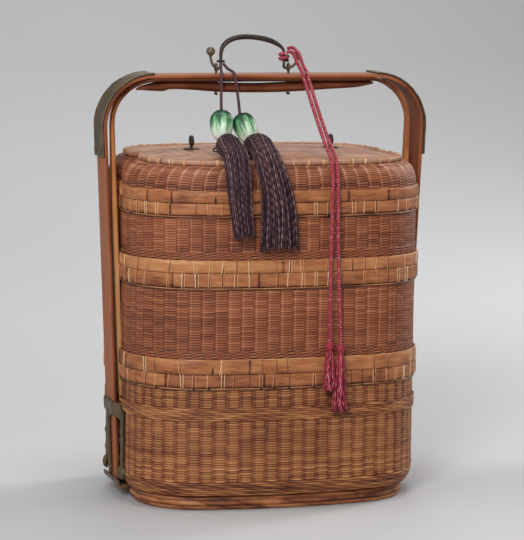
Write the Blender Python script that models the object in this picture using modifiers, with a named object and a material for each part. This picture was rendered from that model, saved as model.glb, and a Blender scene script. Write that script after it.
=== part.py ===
"""Tiered bamboo food basket.

Three woven tiers and a woven lid stand on each other under a bent bamboo handle. Each tier drops a
thin hoop into the rim below it, so it lifts straight up before it is drawn out. The handle's two legs
are held to the bottom tier by metal forks and run into one strap under the basket. A small metal bail
swings in two eyes on the handle and carries a pair of tassels with glazed beads and a doubled red cord.

Metres, +Z up, the front faces -Y. The origin is at the middle of the foot, on the ground.
"""

import math

import bmesh
import bpy
from mathutils import Matrix, Vector

# General fits
SEAT = 0.0003             # gap between pieces that touch
HOOP_CLEARANCE = 0.0004   # sliding fit of a locating hoop in a rim
CUT_OVERRUN = 0.002       # how far a cutter runs past what it cuts

# Plan of the basket, over its bands
HALF_WIDTH = 0.150
HALF_DEPTH = 0.118
FRONT_RADIUS = 0.488
END_HALF_STRAIGHT = 0.0353
GROOVE_HALF_WIDTH = 0.019
GROOVE_DEPTH = 0.012
FRONT_STEPS = 2
CORNER_STEPS = 5
GROOVE_STEPS = 3

# Woven walls and the bamboo bands around them
WALL_THICKNESS = 0.003
STAKES = 72
STAKE_RELIEF = 0.0009
BAND_THICKNESS = 0.0022
HOOP_THICKNESS = 0.0024
HOOP_DROP = 0.0055
CANE_THICKNESS = 0.0012
CANE_HEIGHT = 0.0022
CANE_GAP = 0.0006

# Foot and the twined base above it
FOOT_HEIGHT = 0.013
FOOT_INSET = 0.013
FOOT_THICKNESS = 0.007
FOOT_LEDGE = 0.002
FOOT_GAP = 0.002
PLINTH_HEIGHT = 0.014
PLINTH_DRAW_IN = 0.0055
BASE_FLOOR_THICKNESS = 0.004

# Tiers, from the bottom up: heights over the bands
BOTTOM_HEIGHT = 0.1202
BOTTOM_RIM_HEIGHT = 0.0122
BELT_HEIGHT = 0.0128
BELT_TOP_BELOW_RIM = 0.0327
BELT_THICKNESS = 0.0012
MIDDLE_HEIGHT = 0.0982
MIDDLE_BAND_HEIGHT = 0.0138
MIDDLE_RIM_HEIGHT = 0.0132
TOP_HEIGHT = 0.0672
TOP_BAND_HEIGHT = 0.0115
TOP_RIM_HEIGHT = 0.0112
FLOOR_THICKNESS = 0.003
FLOOR_RAISE = 0.0015

# Lid
LID_BAND_HEIGHT = 0.011
LID_HEIGHT = 0.0402
LID_STRAIGHT_HEIGHT = 0.013
PANEL_END_INSET = 0.019
PANEL_FRONT_INSET = 0.009
PANEL_CORNER_EASE = 0.010
PANEL_THICKNESS = 0.0035
PANEL_CROWN = 0.006
PANEL_RIM_WIDTH = 0.0055
PANEL_RIM_HEIGHT = 0.0052
PANEL_LEDGE = 0.0075
PANEL_RINGS = 4
DOME_STEPS = 4
DOME_GROOVE_LEFT_SHARE = 0.3

# Loops on the lid
LOOP_FROM_PANEL_END = 0.0585
LOOP_RADIUS = 0.0045
LOOP_WIRE_RADIUS = 0.0012
LOOP_NECK = 0.0012
LOOP_PLATE_RADIUS = 0.0085
LOOP_PLATE_THICKNESS = 0.001

# Handle: two bent strips over a grip bar
HANDLE_SIDE_ROOM = 0.0158
HANDLE_OVER_LID = 0.0775
HANDLE_WIDTH = 0.034
BEND_RADIUS = 0.051
STRIP_THICKNESS = 0.0036
SLAT_THICKNESS = 0.0032
SLAT_WIDTH = 0.010
SLAT_BEND_RADIUS = 0.0436
SLAT_GAP_AT_BEND = 0.0071
SLAT_STANDOFF = 0.0031
BEND_STEPS = 9
LEG_FOOT_GAP = 0.0002

# Grip bar under the strips
GRIP_END_ROOM = 0.0348
GRIP_DEPTH = 0.0113
GRIP_SAG = 0.0026

# Metal fittings of the handle
METAL_THICKNESS = 0.0012
STRAP_OVERHANG = 0.001
STRAP_TOP_REACH = 0.004
STRAP_DROP = 0.030
RIVET_RADIUS = 0.0013
RIVET_HEAD_RADIUS = 0.0028
RIVET_HEAD_HEIGHT = 0.0016
STRAP_RIVET_FROM_EDGE = 0.003
STRAP_RIVET_RAISE = 0.006
FORK_BESIDE_STRIP = 0.017
FORK_TOP_BELOW_BELT = 0.0055
FORK_TOP_WIDTH = 0.048
FORK_CAP_HEIGHT = 0.017
PRONG_WIDTH = 0.0056
FORK_DISC_RADIUS = 0.008
FORK_DISC_THICKNESS = 0.0022
FORK_DISC_OVER_FOOT = 0.0145
FORK_NAIL_BELOW_TOP = 0.037
SPACER_HEIGHT = 0.018
SPACER_BELOW_FORK_TOP = 0.035
UNDER_STRAP_WIDTH = 0.060
UNDER_STRAP_THICKNESS = 0.0014

# Eyes and bail on the handle
BAIL_CENTRE_X = -0.0105
EYE_SPACING = 0.0748
EYE_RAISE = 0.0060
EYE_RADIUS = 0.0037
EYE_WIRE_RADIUS = 0.0011
EYE_CLINCH = 0.0034
BAIL_WIDTH = 0.0654
BAIL_RISE = 0.0305
BAIL_WIRE_RADIUS = 0.0014
BAIL_HALF_THICKNESS = 0.0027
BAIL_HALF_BREADTH = 0.0038
BAIL_BALL_RADIUS = 0.0044
LEFT_HOOK_RISE = 0.0205
LEFT_HOOK_REACH = 0.0105
RIGHT_HOOK_RISE = 0.0166
RIGHT_HOOK_REACH = 0.0138

# Tassels with beads
PURPLE_RADIUS = 0.0015
PURPLE_STEP = 0.0048
LOOP_CORD_RADIUS = 0.0012
LOOP_CLEARANCE = 0.0005
BEAD_RADIUS = 0.0115
BEAD_LENGTH = 0.030
BEAD_BORE_RADIUS = 0.0021

# Doubled red cord
RED_RADIUS = 0.0019
RED_STEP = 0.0095
HITCH_RADIUS = 0.0017
HITCH_CLEARANCE = 0.0008
HITCH_TURNS = 1.75
HITCH_PITCH = 0.0042
HITCH_STEPS_PER_TURN = 24
RED_KNOT_RADIUS = 0.004
RED_TASSEL_RADIUS = 0.0056

# Routes of the cords, chosen by hand from the eye down over the handle's edge and the lid's front,
# for a handle whose top is at this level
ROUTE_HANDLE_TOP = 0.4192
PURPLE_LEFT_ROUTE = [
    (-0.0444, -0.0036, 0.4293), (-0.0455, -0.0090, 0.4250), (-0.0468, -0.0146, 0.4230),
    (-0.0478, -0.0196, 0.4210), (-0.0488, -0.0232, 0.4156), (-0.0502, -0.0278, 0.4080),
    (-0.0526, -0.0362, 0.3960), (-0.0546, -0.0446, 0.3850),
]
PURPLE_RIGHT_ROUTE = [
    (-0.0414, -0.0035, 0.4292), (-0.0388, -0.0090, 0.4248), (-0.0364, -0.0146, 0.4228),
    (-0.0352, -0.0196, 0.4208), (-0.0346, -0.0232, 0.4152), (-0.0344, -0.0278, 0.4070),
    (-0.0350, -0.0366, 0.3940), (-0.0357, -0.0446, 0.3816),
]
RED_LEFT_ROUTE = [
    (0.0236, -0.0042, 0.4400), (0.0264, -0.0052, 0.4410), (0.0294, -0.0079, 0.4392),
    (0.0322, -0.0114, 0.4318), (0.0342, -0.0158, 0.4250), (0.0350, -0.0210, 0.4212),
    (0.0354, -0.0246, 0.4156), (0.0358, -0.0350, 0.4062), (0.0364, -0.0620, 0.3812),
    (0.0368, -0.0900, 0.3580), (0.0369, -0.1060, 0.3475), (0.0368, -0.1152, 0.3392),
    (0.0362, -0.1205, 0.3240), (0.0354, -0.1228, 0.3020), (0.0348, -0.1236, 0.2700),
    (0.0346, -0.1238, 0.2300), (0.0345, -0.1238, 0.1980), (0.0345, -0.1238, 0.1664),
]
RED_RIGHT_ROUTE = [
    (0.0256, -0.0010, 0.4438), (0.0296, -0.0044, 0.4450), (0.0340, -0.0086, 0.4402),
    (0.0370, -0.0118, 0.4322), (0.0388, -0.0160, 0.4254), (0.0396, -0.0212, 0.4214),
    (0.0400, -0.0248, 0.4158), (0.0403, -0.0352, 0.4064), (0.0410, -0.0622, 0.3814),
    (0.0415, -0.0902, 0.3582), (0.0417, -0.1062, 0.3477), (0.0417, -0.1154, 0.3394),
    (0.0414, -0.1207, 0.3240), (0.0410, -0.1230, 0.3020), (0.0414, -0.1238, 0.2700),
    (0.0426, -0.1240, 0.2300), (0.0440, -0.1240, 0.1980), (0.0456, -0.1240, 0.1632),
]

# Sections of the two flat tassels from the bead over the lid's front edge: x, y, z of the middle,
# half width, half thickness
LEFT_TASSEL_SECTIONS = [
    (-0.0562, -0.0680, 0.3551, 0.0030, 0.0030), (-0.0562, -0.0696, 0.3550, 0.0080, 0.0078),
    (-0.0565, -0.0750, 0.3546, 0.0116, 0.0111), (-0.0570, -0.0840, 0.3529, 0.0122, 0.0106),
    (-0.0578, -0.0955, 0.3507, 0.0124, 0.0087), (-0.0588, -0.1078, 0.3494, 0.0124, 0.0060),
    (-0.0594, -0.1176, 0.3434, 0.0123, 0.0060), (-0.0594, -0.1226, 0.3336, 0.0121, 0.0058),
    (-0.0589, -0.1248, 0.3200, 0.0118, 0.0058), (-0.0568, -0.1248, 0.2980, 0.0110, 0.0058),
    (-0.0530, -0.1248, 0.2700, 0.0096, 0.0056),
]
RIGHT_TASSEL_SECTIONS = [
    (-0.0264, -0.0680, 0.3552, 0.0030, 0.0030), (-0.0265, -0.0696, 0.3551, 0.0090, 0.0078),
    (-0.0268, -0.0750, 0.3547, 0.0134, 0.0110), (-0.0274, -0.0840, 0.3535, 0.0138, 0.0106),
    (-0.0282, -0.0955, 0.3511, 0.0138, 0.0087), (-0.0289, -0.1078, 0.3495, 0.0136, 0.0060),
    (-0.0289, -0.1176, 0.3434, 0.0136, 0.0060), (-0.0265, -0.1226, 0.3336, 0.0138, 0.0058),
    (-0.0226, -0.1248, 0.3180, 0.0148, 0.0058), (-0.0192, -0.1248, 0.2960, 0.0170, 0.0058),
    (-0.0177, -0.1248, 0.2580, 0.0188, 0.0056),
]
LEFT_BEAD_END = (-0.0580, -0.0592, 0.3566)
RIGHT_BEAD_END = (-0.0280, -0.0588, 0.3558)
RED_LEFT_END = 0.1176
RED_RIGHT_END = 0.0964

# Levels that follow from the sizes above
FOOT_LEDGE_TOP = FOOT_HEIGHT + FOOT_GAP - SEAT
PLINTH_BOTTOM = FOOT_HEIGHT + FOOT_GAP
PLINTH_TOP = PLINTH_BOTTOM + PLINTH_HEIGHT
BOTTOM_TOP = PLINTH_BOTTOM + BOTTOM_HEIGHT
MIDDLE_BOTTOM = BOTTOM_TOP + SEAT
MIDDLE_TOP = MIDDLE_BOTTOM + MIDDLE_HEIGHT
TOP_BOTTOM = MIDDLE_TOP + SEAT
TOP_TOP = TOP_BOTTOM + TOP_HEIGHT
LID_BOTTOM = TOP_TOP + SEAT
LID_TOP = LID_BOTTOM + LID_HEIGHT
BELT_TOP = BOTTOM_TOP - BELT_TOP_BELOW_RIM
BELT_BOTTOM = BELT_TOP - BELT_HEIGHT
HANDLE_TOP = LID_TOP + HANDLE_OVER_LID
FORK_TOP = BELT_TOP - FORK_TOP_BELOW_BELT
FORK_DISC_HEIGHT = FOOT_HEIGHT + FORK_DISC_OVER_FOOT
FORK_NAIL_HEIGHT = FORK_TOP - FORK_NAIL_BELOW_TOP
SPACER_BOTTOM = FORK_TOP - SPACER_BELOW_FORK_TOP

# Plan sizes that follow from the sizes above
CORNER_RADIUS = (
    FRONT_RADIUS ** 2 - HALF_WIDTH ** 2 - (FRONT_RADIUS - HALF_DEPTH + END_HALF_STRAIGHT) ** 2
) / (2 * (FRONT_RADIUS - HALF_WIDTH))
PANEL_HALF_WIDTH = HALF_WIDTH - PANEL_END_INSET
PANEL_HALF_DEPTH = HALF_DEPTH - PANEL_FRONT_INSET
PANEL_CORNER_RADIUS = CORNER_RADIUS - PANEL_CORNER_EASE
LOOP_SPACING = 2 * (PANEL_HALF_WIDTH - LOOP_FROM_PANEL_END)
STRAP_WIDTH = HANDLE_WIDTH + 2 * STRAP_OVERHANG
STRAP_RIVET_SPREAD = HANDLE_WIDTH - 2 * STRAP_RIVET_FROM_EDGE
FORK_WIDTH = HANDLE_WIDTH + 2 * FORK_BESIDE_STRIP
HANDLE_HALF_SPAN = HALF_WIDTH + HANDLE_SIDE_ROOM
GRIP_LENGTH = 2 * (HANDLE_HALF_SPAN - GRIP_END_ROOM)

# Insets from the bands' outer face that follow from the sizes above
WALL_INSET = BAND_THICKNESS + SEAT
WALL_INNER_INSET = WALL_INSET + WALL_THICKNESS
HOOP_INSET = WALL_INNER_INSET + HOOP_CLEARANCE
FLOOR_INSET = WALL_INNER_INSET + SEAT

COLOURS = {
    "cane_weave": ((0.42, 0.20, 0.085), 0.55, 0.0),
    "bamboo_band": ((0.46, 0.24, 0.10), 0.45, 0.0),
    "handle_bamboo": ((0.33, 0.13, 0.06), 0.4, 0.0),
    "slat_bamboo": ((0.50, 0.27, 0.11), 0.45, 0.0),
    "patinated_metal": ((0.12, 0.12, 0.095), 0.5, 0.9),
    "bail_metal": ((0.10, 0.075, 0.07), 0.45, 0.8),
    "purple_cord": ((0.10, 0.055, 0.085), 0.75, 0.0),
    "red_cord": ((0.42, 0.035, 0.08), 0.7, 0.0),
    "glazed_bead": ((0.25, 0.50, 0.30), 0.15, 0.0),
}


def clear_scene():
    for obj in list(bpy.data.objects):
        bpy.data.objects.remove(obj, do_unlink=True)


def new_collection(name):
    collection = bpy.data.collections.new(name)
    bpy.context.scene.collection.children.link(collection)
    return collection


def material(name):
    """The Principled material of that name, made when it is first asked for."""
    found = bpy.data.materials.get(name)
    if found:
        return found
    colour, roughness, metallic = COLOURS[name]
    made = bpy.data.materials.new(name)
    made.use_nodes = True
    shader = made.node_tree.nodes["Principled BSDF"]
    shader.inputs["Base Color"].default_value = (*colour, 1.0)
    shader.inputs["Roughness"].default_value = roughness
    shader.inputs["Metallic"].default_value = metallic
    return made


def place(name, data, slot):
    """A new object in the basket's collection with its material."""
    obj = bpy.data.objects.new(name, data)
    PARTS.objects.link(obj)
    data.materials.clear()
    data.materials.append(material(slot))
    return obj


def adopt(obj, name, slot):
    """Moves an object made by an operator into the basket's collection."""
    for collection in list(obj.users_collection):
        collection.objects.unlink(obj)
    PARTS.objects.link(obj)
    obj.name = name
    obj.data.name = name
    obj.data.materials.clear()
    obj.data.materials.append(material(slot))
    return obj


def as_cutter(obj):
    for collection in list(obj.users_collection):
        collection.objects.unlink(obj)
    CUTTERS.objects.link(obj)
    obj.hide_render = True
    obj.display_type = "WIRE"
    return obj


def smooth(obj, angle=math.radians(35)):
    obj.data.shade_smooth()
    obj.data.set_sharp_from_angle(angle=angle)


def mesh_of(obj):
    """Turns a curve object into a mesh object of the same name, with its caps welded."""
    graph = bpy.context.evaluated_depsgraph_get()
    mesh = bpy.data.meshes.new_from_object(obj.evaluated_get(graph))
    name = obj.name
    matrix = obj.matrix_world.copy()
    collection = obj.users_collection[0]
    bpy.data.objects.remove(obj, do_unlink=True)
    bm = bmesh.new()
    bm.from_mesh(mesh)
    bmesh.ops.remove_doubles(bm, verts=bm.verts, dist=0.000001)
    bmesh.ops.recalc_face_normals(bm, faces=bm.faces)
    bm.to_mesh(mesh)
    bm.free()
    made = bpy.data.objects.new(name, mesh)
    made.matrix_world = matrix
    collection.objects.link(made)
    return made


def combine(obj, other, operation):
    """A Boolean between obj and a cutter."""
    modifier = obj.modifiers.new(operation.lower(), "BOOLEAN")
    modifier.operation = operation
    modifier.solver = "EXACT"
    modifier.object = as_cutter(other)
    return obj


# Outlines of the plan

def quarter_plan(half_width, half_depth, corner_radius, front_radius, inset, groove):
    """The plan's front right quarter, from the middle of the front to the middle of the right end."""
    front_centre = front_radius - half_depth
    corner_x = half_width - corner_radius
    corner_y = front_centre - math.sqrt((front_radius - corner_radius) ** 2 - corner_x ** 2)
    joint = math.atan2(corner_y - front_centre, corner_x)
    points = []
    for step in range(FRONT_STEPS):
        angle = -math.pi / 2 + (joint + math.pi / 2) * step / FRONT_STEPS
        radius = front_radius - inset
        points.append((radius * math.cos(angle), front_centre + radius * math.sin(angle)))
    for step in range(CORNER_STEPS + 1):
        angle = joint * (1 - step / CORNER_STEPS)
        radius = corner_radius - inset
        points.append((corner_x + radius * math.cos(angle), corner_y + radius * math.sin(angle)))
    for step in range(GROOVE_STEPS + 1):
        share = step / GROOVE_STEPS
        depth = groove * (1 - math.cos(math.pi * share)) / 2
        points.append((half_width - inset - depth, -GROOVE_HALF_WIDTH * (1 - share)))
    return points


def whole_plan(quarter):
    """The whole outline, anticlockwise, from its front right quarter."""
    right = quarter + [(x, -y) for x, y in quarter[-2::-1]]
    return right + [(-x, y) for x, y in right[-2:0:-1]]


def basket_plan(inset=0.0, groove=GROOVE_DEPTH):
    return whole_plan(
        quarter_plan(HALF_WIDTH, HALF_DEPTH, CORNER_RADIUS, FRONT_RADIUS, inset, groove)
    )


def panel_plan(inset=0.0):
    groove = GROOVE_DEPTH * DOME_GROOVE_LEFT_SHARE
    return whole_plan(
        quarter_plan(
            PANEL_HALF_WIDTH, PANEL_HALF_DEPTH, PANEL_CORNER_RADIUS, FRONT_RADIUS, inset, groove
        )
    )


def blend_outlines(first, second, share):
    return [
        (a[0] + (b[0] - a[0]) * share, a[1] + (b[1] - a[1]) * share)
        for a, b in zip(first, second)
    ]


def staked_plan(inset):
    """The outline with a shallow valley between every two of the wall's upright stakes."""
    crests = basket_plan(inset)
    valleys = basket_plan(inset + STAKE_RELIEF)
    crests.append(crests[0])
    valleys.append(valleys[0])
    lengths = [0.0]
    for a, b in zip(crests, crests[1:]):
        lengths.append(lengths[-1] + math.dist(a, b))
    half_stake = lengths[-1] / (2 * STAKES)
    corners = lengths[:-1]
    steps = [half_stake * step for step in range(2 * STAKES)]
    near = half_stake / 5
    clear = [place for place in steps if min(abs(place - corner) for corner in corners) > near]
    outline = []
    for place in sorted(corners + clear):
        index = max(i for i, length in enumerate(corners) if length <= place)
        share = (place - lengths[index]) / (lengths[index + 1] - lengths[index])
        crest = [a + (b - a) * share for a, b in zip(crests[index], crests[index + 1])]
        valley = [a + (b - a) * share for a, b in zip(valleys[index], valleys[index + 1])]
        depth = abs(1 - (place / half_stake) % 2)
        outline.append(tuple(c + (v - c) * depth for c, v in zip(crest, valley)))
    return outline


# Solids from outlines

def flat_curve(name, outlines, thickness):
    """A 2D curve with the outlines filled and raised by half the thickness each way."""
    curve = bpy.data.curves.new(name, "CURVE")
    curve.dimensions = "2D"
    curve.fill_mode = "BOTH"
    curve.extrude = thickness / 2
    for outline in outlines:
        spline = curve.splines.new("POLY")
        spline.points.add(len(outline) - 1)
        for point, (x, y) in zip(spline.points, outline):
            point.co = (x, y, 0, 1)
        spline.use_cyclic_u = True
    return curve


def raised(name, outlines, bottom, top, slot):
    """Plan outlines raised from bottom to top."""
    obj = place(name, flat_curve(name, outlines, top - bottom), slot)
    obj.location.z = (bottom + top) / 2
    return obj


def hoop(name, outer, inner, bottom, top, slot):
    """A band round the basket between two insets."""
    return raised(name, [basket_plan(outer), basket_plan(inner)], bottom, top, slot)


def staked_wall(name, bottom, top):
    """A woven wall whose stakes stand out as ribs on its outer side."""
    outlines = [staked_plan(WALL_INSET), basket_plan(WALL_INNER_INSET)]
    raised(name, outlines, bottom, top, "cane_weave")


def side_cut(name, outline, width, slot):
    """An outline in X and Z, as wide as width in Y about the handle's middle."""
    obj = place(name, flat_curve(name, [outline], width), slot)
    obj.rotation_euler.x = math.pi / 2
    return obj


def loft(name, loops, slot, closed=False):
    """A skin over loops of equal point counts: capped at its ends, or closed into a ring."""
    bm = bmesh.new()
    rings = [[bm.verts.new(point) for point in loop] for loop in loops]
    pairs = list(zip(rings, rings[1:]))
    if closed:
        pairs.append((rings[-1], rings[0]))
    for low, high in pairs:
        count = len(low)
        for i in range(count):
            j = (i + 1) % count
            bm.faces.new((low[i], low[j], high[j], high[i]))
    if not closed:
        bm.faces.new(rings[0])
        bm.faces.new(rings[-1])
    bmesh.ops.recalc_face_normals(bm, faces=bm.faces)
    mesh = bpy.data.meshes.new(name)
    bm.to_mesh(mesh)
    bm.free()
    return place(name, mesh, slot)


def at_level(outline, level):
    return [(x, y, level) for x, y in outline]


def ring_section(name, section, slot):
    """A ring round the basket with a section of (inset, level) corners."""
    loops = [at_level(basket_plan(inset), level) for inset, level in section]
    return loft(name, loops, slot, closed=True)


# Tiers

def foot_ring():
    inner = FOOT_INSET + FOOT_THICKNESS
    ledge = FOOT_INSET + FOOT_LEDGE
    section = [
        (FOOT_INSET, 0.0), (FOOT_INSET, FOOT_HEIGHT), (ledge, FOOT_HEIGHT),
        (ledge, FOOT_LEDGE_TOP), (inner, FOOT_LEDGE_TOP), (inner, 0.0),
    ]
    ring = ring_section("foot_ring", section, "bamboo_band")
    notch_width = UNDER_STRAP_WIDTH + 2 * SEAT
    notch_height = FOOT_GAP + CUT_OVERRUN
    bpy.ops.mesh.primitive_cube_add(
        size=1, location=(0, 0, FOOT_HEIGHT + notch_height / 2)
    )
    notch = bpy.context.object
    notch.name = "foot_notch"
    notch.scale = (2 * HALF_WIDTH, notch_width, notch_height)
    combine(ring, notch, "DIFFERENCE")


def plinth():
    draw_in = WALL_INSET + PLINTH_DRAW_IN
    section = [
        (draw_in, PLINTH_BOTTOM),
        (WALL_INSET + PLINTH_DRAW_IN / 4, PLINTH_BOTTOM + PLINTH_HEIGHT / 2),
        (WALL_INSET, PLINTH_TOP),
        (WALL_INNER_INSET, PLINTH_TOP),
        (draw_in + WALL_THICKNESS, PLINTH_BOTTOM),
    ]
    ring_section("base_plinth", section, "cane_weave")


def rim(prefix, top, height):
    """The bamboo rim band of a tier and the thin cane that runs under it."""
    bottom = top - height
    hoop(prefix + "_rim_band", 0, BAND_THICKNESS, bottom, top, "bamboo_band")
    outer = WALL_INSET - CANE_THICKNESS - SEAT
    cane_top = bottom - CANE_GAP
    hoop(
        prefix + "_rim_cane", outer, WALL_INSET - SEAT,
        cane_top - CANE_HEIGHT, cane_top, "bamboo_band",
    )


def floor_and_hoop(prefix, bottom):
    """The floor of a tier that stands on another, and the hoop it drops into the rim below."""
    floor_bottom = bottom + FLOOR_RAISE
    raised(
        prefix + "_floor", [basket_plan(FLOOR_INSET)],
        floor_bottom, floor_bottom + FLOOR_THICKNESS, "cane_weave",
    )
    hoop(
        prefix + "_hoop", HOOP_INSET, HOOP_INSET + HOOP_THICKNESS,
        bottom - HOOP_DROP, floor_bottom - SEAT, "bamboo_band",
    )


def bottom_tier():
    foot_ring()
    plinth()
    floor_inset = WALL_INNER_INSET + PLINTH_DRAW_IN + SEAT
    raised(
        "bottom_floor", [basket_plan(floor_inset)],
        PLINTH_BOTTOM, PLINTH_BOTTOM + BASE_FLOOR_THICKNESS, "cane_weave",
    )
    staked_wall("bottom_wall", PLINTH_TOP + SEAT, BOTTOM_TOP)
    hoop(
        "bottom_belt", WALL_INSET - BELT_THICKNESS - SEAT, WALL_INSET - SEAT,
        BELT_BOTTOM, BELT_TOP, "cane_weave",
    )
    rim("bottom", BOTTOM_TOP, BOTTOM_RIM_HEIGHT)


def upper_tier(prefix, bottom, top, band_height, rim_height):
    """A tier that stands on another: floor, hoop, lower band and rim."""
    floor_and_hoop(prefix, bottom)
    hoop(prefix + "_lower_band", 0, BAND_THICKNESS, bottom, bottom + band_height, "bamboo_band")
    rim(prefix, top, rim_height)


# Lid

def dome_loop(share, inner):
    """One outline of the lid's shoulder, from the top of its straight part (0) to its mouth (1)."""
    thickness = WALL_THICKNESS if inner else 0.0
    angle = math.pi / 2 * share
    low = LID_BOTTOM + LID_STRAIGHT_HEIGHT
    high = LID_TOP - PANEL_RIM_HEIGHT - SEAT - thickness
    outline = blend_outlines(
        basket_plan(WALL_INSET + thickness), panel_plan(thickness), 1 - math.cos(angle)
    )
    return at_level(outline, low + (high - low) * math.sin(angle))


def lid_dome():
    """The lid's woven shell, with a ledge at its mouth that the top panel lies on."""
    outside = [at_level(basket_plan(WALL_INSET), LID_BOTTOM)]
    outside += [dome_loop(step / DOME_STEPS, False) for step in range(DOME_STEPS + 1)]
    ledge_top = LID_TOP - PANEL_RIM_HEIGHT - SEAT
    ledge = [
        at_level(panel_plan(PANEL_LEDGE), ledge_top),
        at_level(panel_plan(PANEL_LEDGE), ledge_top - WALL_THICKNESS),
    ]
    inside = [dome_loop(step / DOME_STEPS, True) for step in range(DOME_STEPS, -1, -1)]
    inside += [at_level(basket_plan(WALL_INNER_INSET), LID_BOTTOM)]
    smooth(loft("lid_dome", outside + ledge + inside, "cane_weave", closed=True))


def panel_loops(inset, base, rise):
    """Outlines of a crowned disc, from its edge towards its middle."""
    edge = panel_plan(inset)
    loops = []
    for step in range(PANEL_RINGS):
        share = 1 - step / PANEL_RINGS
        outline = [(x * share, y * share) for x, y in edge]
        loops.append(at_level(outline, base + rise * (1 - share ** 2)))
    return loops


def lid_panel():
    """The crowned top panel inside its wrapped rim."""
    inset = PANEL_RIM_WIDTH + SEAT
    bottom = LID_TOP - PANEL_RIM_HEIGHT
    loops = [at_level(panel_plan(inset), bottom)]
    loops += panel_loops(inset, bottom + PANEL_THICKNESS, PANEL_CROWN)
    panel = loft("lid_panel", loops, "cane_weave")
    smooth(panel)
    for side in (-1, 1):
        place_at = (side * LOOP_SPACING / 2, 0, LID_TOP)
        drill(panel, place_at, "Z", LOOP_WIRE_RADIUS + SEAT, LID_HEIGHT)
    raised("lid_panel_rim", [panel_plan(), panel_plan(PANEL_RIM_WIDTH)], bottom, LID_TOP, "bamboo_band")


def crown_level(x):
    """Height of the panel's top on its long middle line."""
    share = abs(x) / (PANEL_HALF_WIDTH - PANEL_RIM_WIDTH)
    return LID_TOP - PANEL_RIM_HEIGHT + PANEL_THICKNESS + PANEL_CROWN * (1 - share ** 2)


def lid_loop(side, name):
    """A small ring on a shank through the panel, and the plate under it."""
    x = side * LOOP_SPACING / 2
    plate_bottom = crown_level(x - LOOP_PLATE_RADIUS if x > 0 else x + LOOP_PLATE_RADIUS) + SEAT
    plate_top = plate_bottom + LOOP_PLATE_THICKNESS
    centre = plate_top + LOOP_NECK + LOOP_RADIUS + LOOP_WIRE_RADIUS
    bpy.ops.mesh.primitive_torus_add(
        major_radius=LOOP_RADIUS, minor_radius=LOOP_WIRE_RADIUS,
        major_segments=16, minor_segments=8,
        location=(x, 0, centre), rotation=(0, math.pi / 2, 0),
    )
    ring = adopt(bpy.context.object, "lid_loop_" + name, "patinated_metal")
    shank_top = centre - LOOP_RADIUS
    shank_bottom = plate_bottom - PANEL_THICKNESS - PANEL_CROWN
    combine(ring, rod((x, 0, shank_bottom), (x, 0, shank_top), LOOP_WIRE_RADIUS), "UNION")
    hole = rod((x, 0, shank_bottom), (x, 0, centre), LOOP_WIRE_RADIUS + SEAT)
    plate = rod((x, 0, plate_bottom), (x, 0, plate_top), LOOP_PLATE_RADIUS, 20)
    adopt(plate, "lid_plate_" + name, "patinated_metal")
    combine(plate, hole, "DIFFERENCE")


def lid():
    lid_dome()
    lid_panel()
    hoop("lid_band", 0, BAND_THICKNESS, LID_BOTTOM, LID_BOTTOM + LID_BAND_HEIGHT, "bamboo_band")
    hoop(
        "lid_hoop", HOOP_INSET, HOOP_INSET + HOOP_THICKNESS,
        LID_BOTTOM - HOOP_DROP, LID_BOTTOM + LID_BAND_HEIGHT, "bamboo_band",
    )
    lid_loop(-1, "left")
    lid_loop(1, "right")


# Rods and holes

def rod(start, end, radius, sides=12):
    """A plain round bar between two points."""
    start, end = Vector(start), Vector(end)
    bpy.ops.mesh.primitive_cylinder_add(
        vertices=sides, radius=radius, depth=(end - start).length, location=(start + end) / 2
    )
    obj = bpy.context.object
    obj.rotation_mode = "QUATERNION"
    obj.rotation_quaternion = Vector((0, 0, 1)).rotation_difference(end - start)
    return obj


def drill(obj, centre, axis, radius, length):
    """Cuts a round hole through obj along an axis."""
    offset = Vector([length / 2 if name == axis else 0 for name in "XYZ"])
    middle = Vector(centre)
    combine(obj, rod(middle - offset, middle + offset, radius), "DIFFERENCE")


# Handle

def shoulder_centre(half_span, top, radius, foot_x):
    """Centre of the bend and the lean of the leg that runs down from it to foot_x."""
    centre_z = top - radius
    lean = math.atan2(half_span - foot_x, centre_z - PLINTH_TOP)
    return half_span - radius * math.cos(lean), centre_z, lean


def strip_side(half_span, top, radius, foot_x, depth, foot_z):
    """Half of a bent strip's side line at a depth under its outer face, from foot to crown."""
    centre_x, centre_z, lean = shoulder_centre(half_span, top, radius, foot_x)
    reach = radius - depth
    knee = (centre_x + reach * math.cos(lean), centre_z - reach * math.sin(lean))
    points = [(knee[0] - (knee[1] - foot_z) * math.tan(lean), foot_z)]
    for step in range(BEND_STEPS + 1):
        angle = -lean + (math.pi / 2 + lean) * step / BEND_STEPS
        points.append((centre_x + reach * math.cos(angle), centre_z + reach * math.sin(angle)))
    return points


STRIP_FOOT_X = HALF_WIDTH - WALL_INSET + SEAT + LEG_FOOT_GAP + STRIP_THICKNESS
SLAT_TOP = HANDLE_TOP - STRIP_THICKNESS - SEAT
SLAT_HALF_SPAN = HANDLE_HALF_SPAN - STRIP_THICKNESS - SLAT_GAP_AT_BEND
SLAT_FOOT_X = HALF_WIDTH - WALL_INSET - GROOVE_DEPTH + SLAT_STANDOFF + SLAT_THICKNESS
GRIP_TOP = SLAT_TOP - SLAT_THICKNESS - SEAT
STRIP_FOOT_Z = PLINTH_BOTTOM + SEAT
EYE_LEVEL = HANDLE_TOP + EYE_RAISE
EYE_PLACES = [BAIL_CENTRE_X - EYE_SPACING / 2, BAIL_CENTRE_X + EYE_SPACING / 2]


def outer_side(depth, foot_z=STRIP_FOOT_Z):
    return strip_side(HANDLE_HALF_SPAN, HANDLE_TOP, BEND_RADIUS, STRIP_FOOT_X, depth, foot_z)


def slat_side(depth):
    return strip_side(SLAT_HALF_SPAN, SLAT_TOP, SLAT_BEND_RADIUS, SLAT_FOOT_X, depth, PLINTH_TOP)


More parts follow.
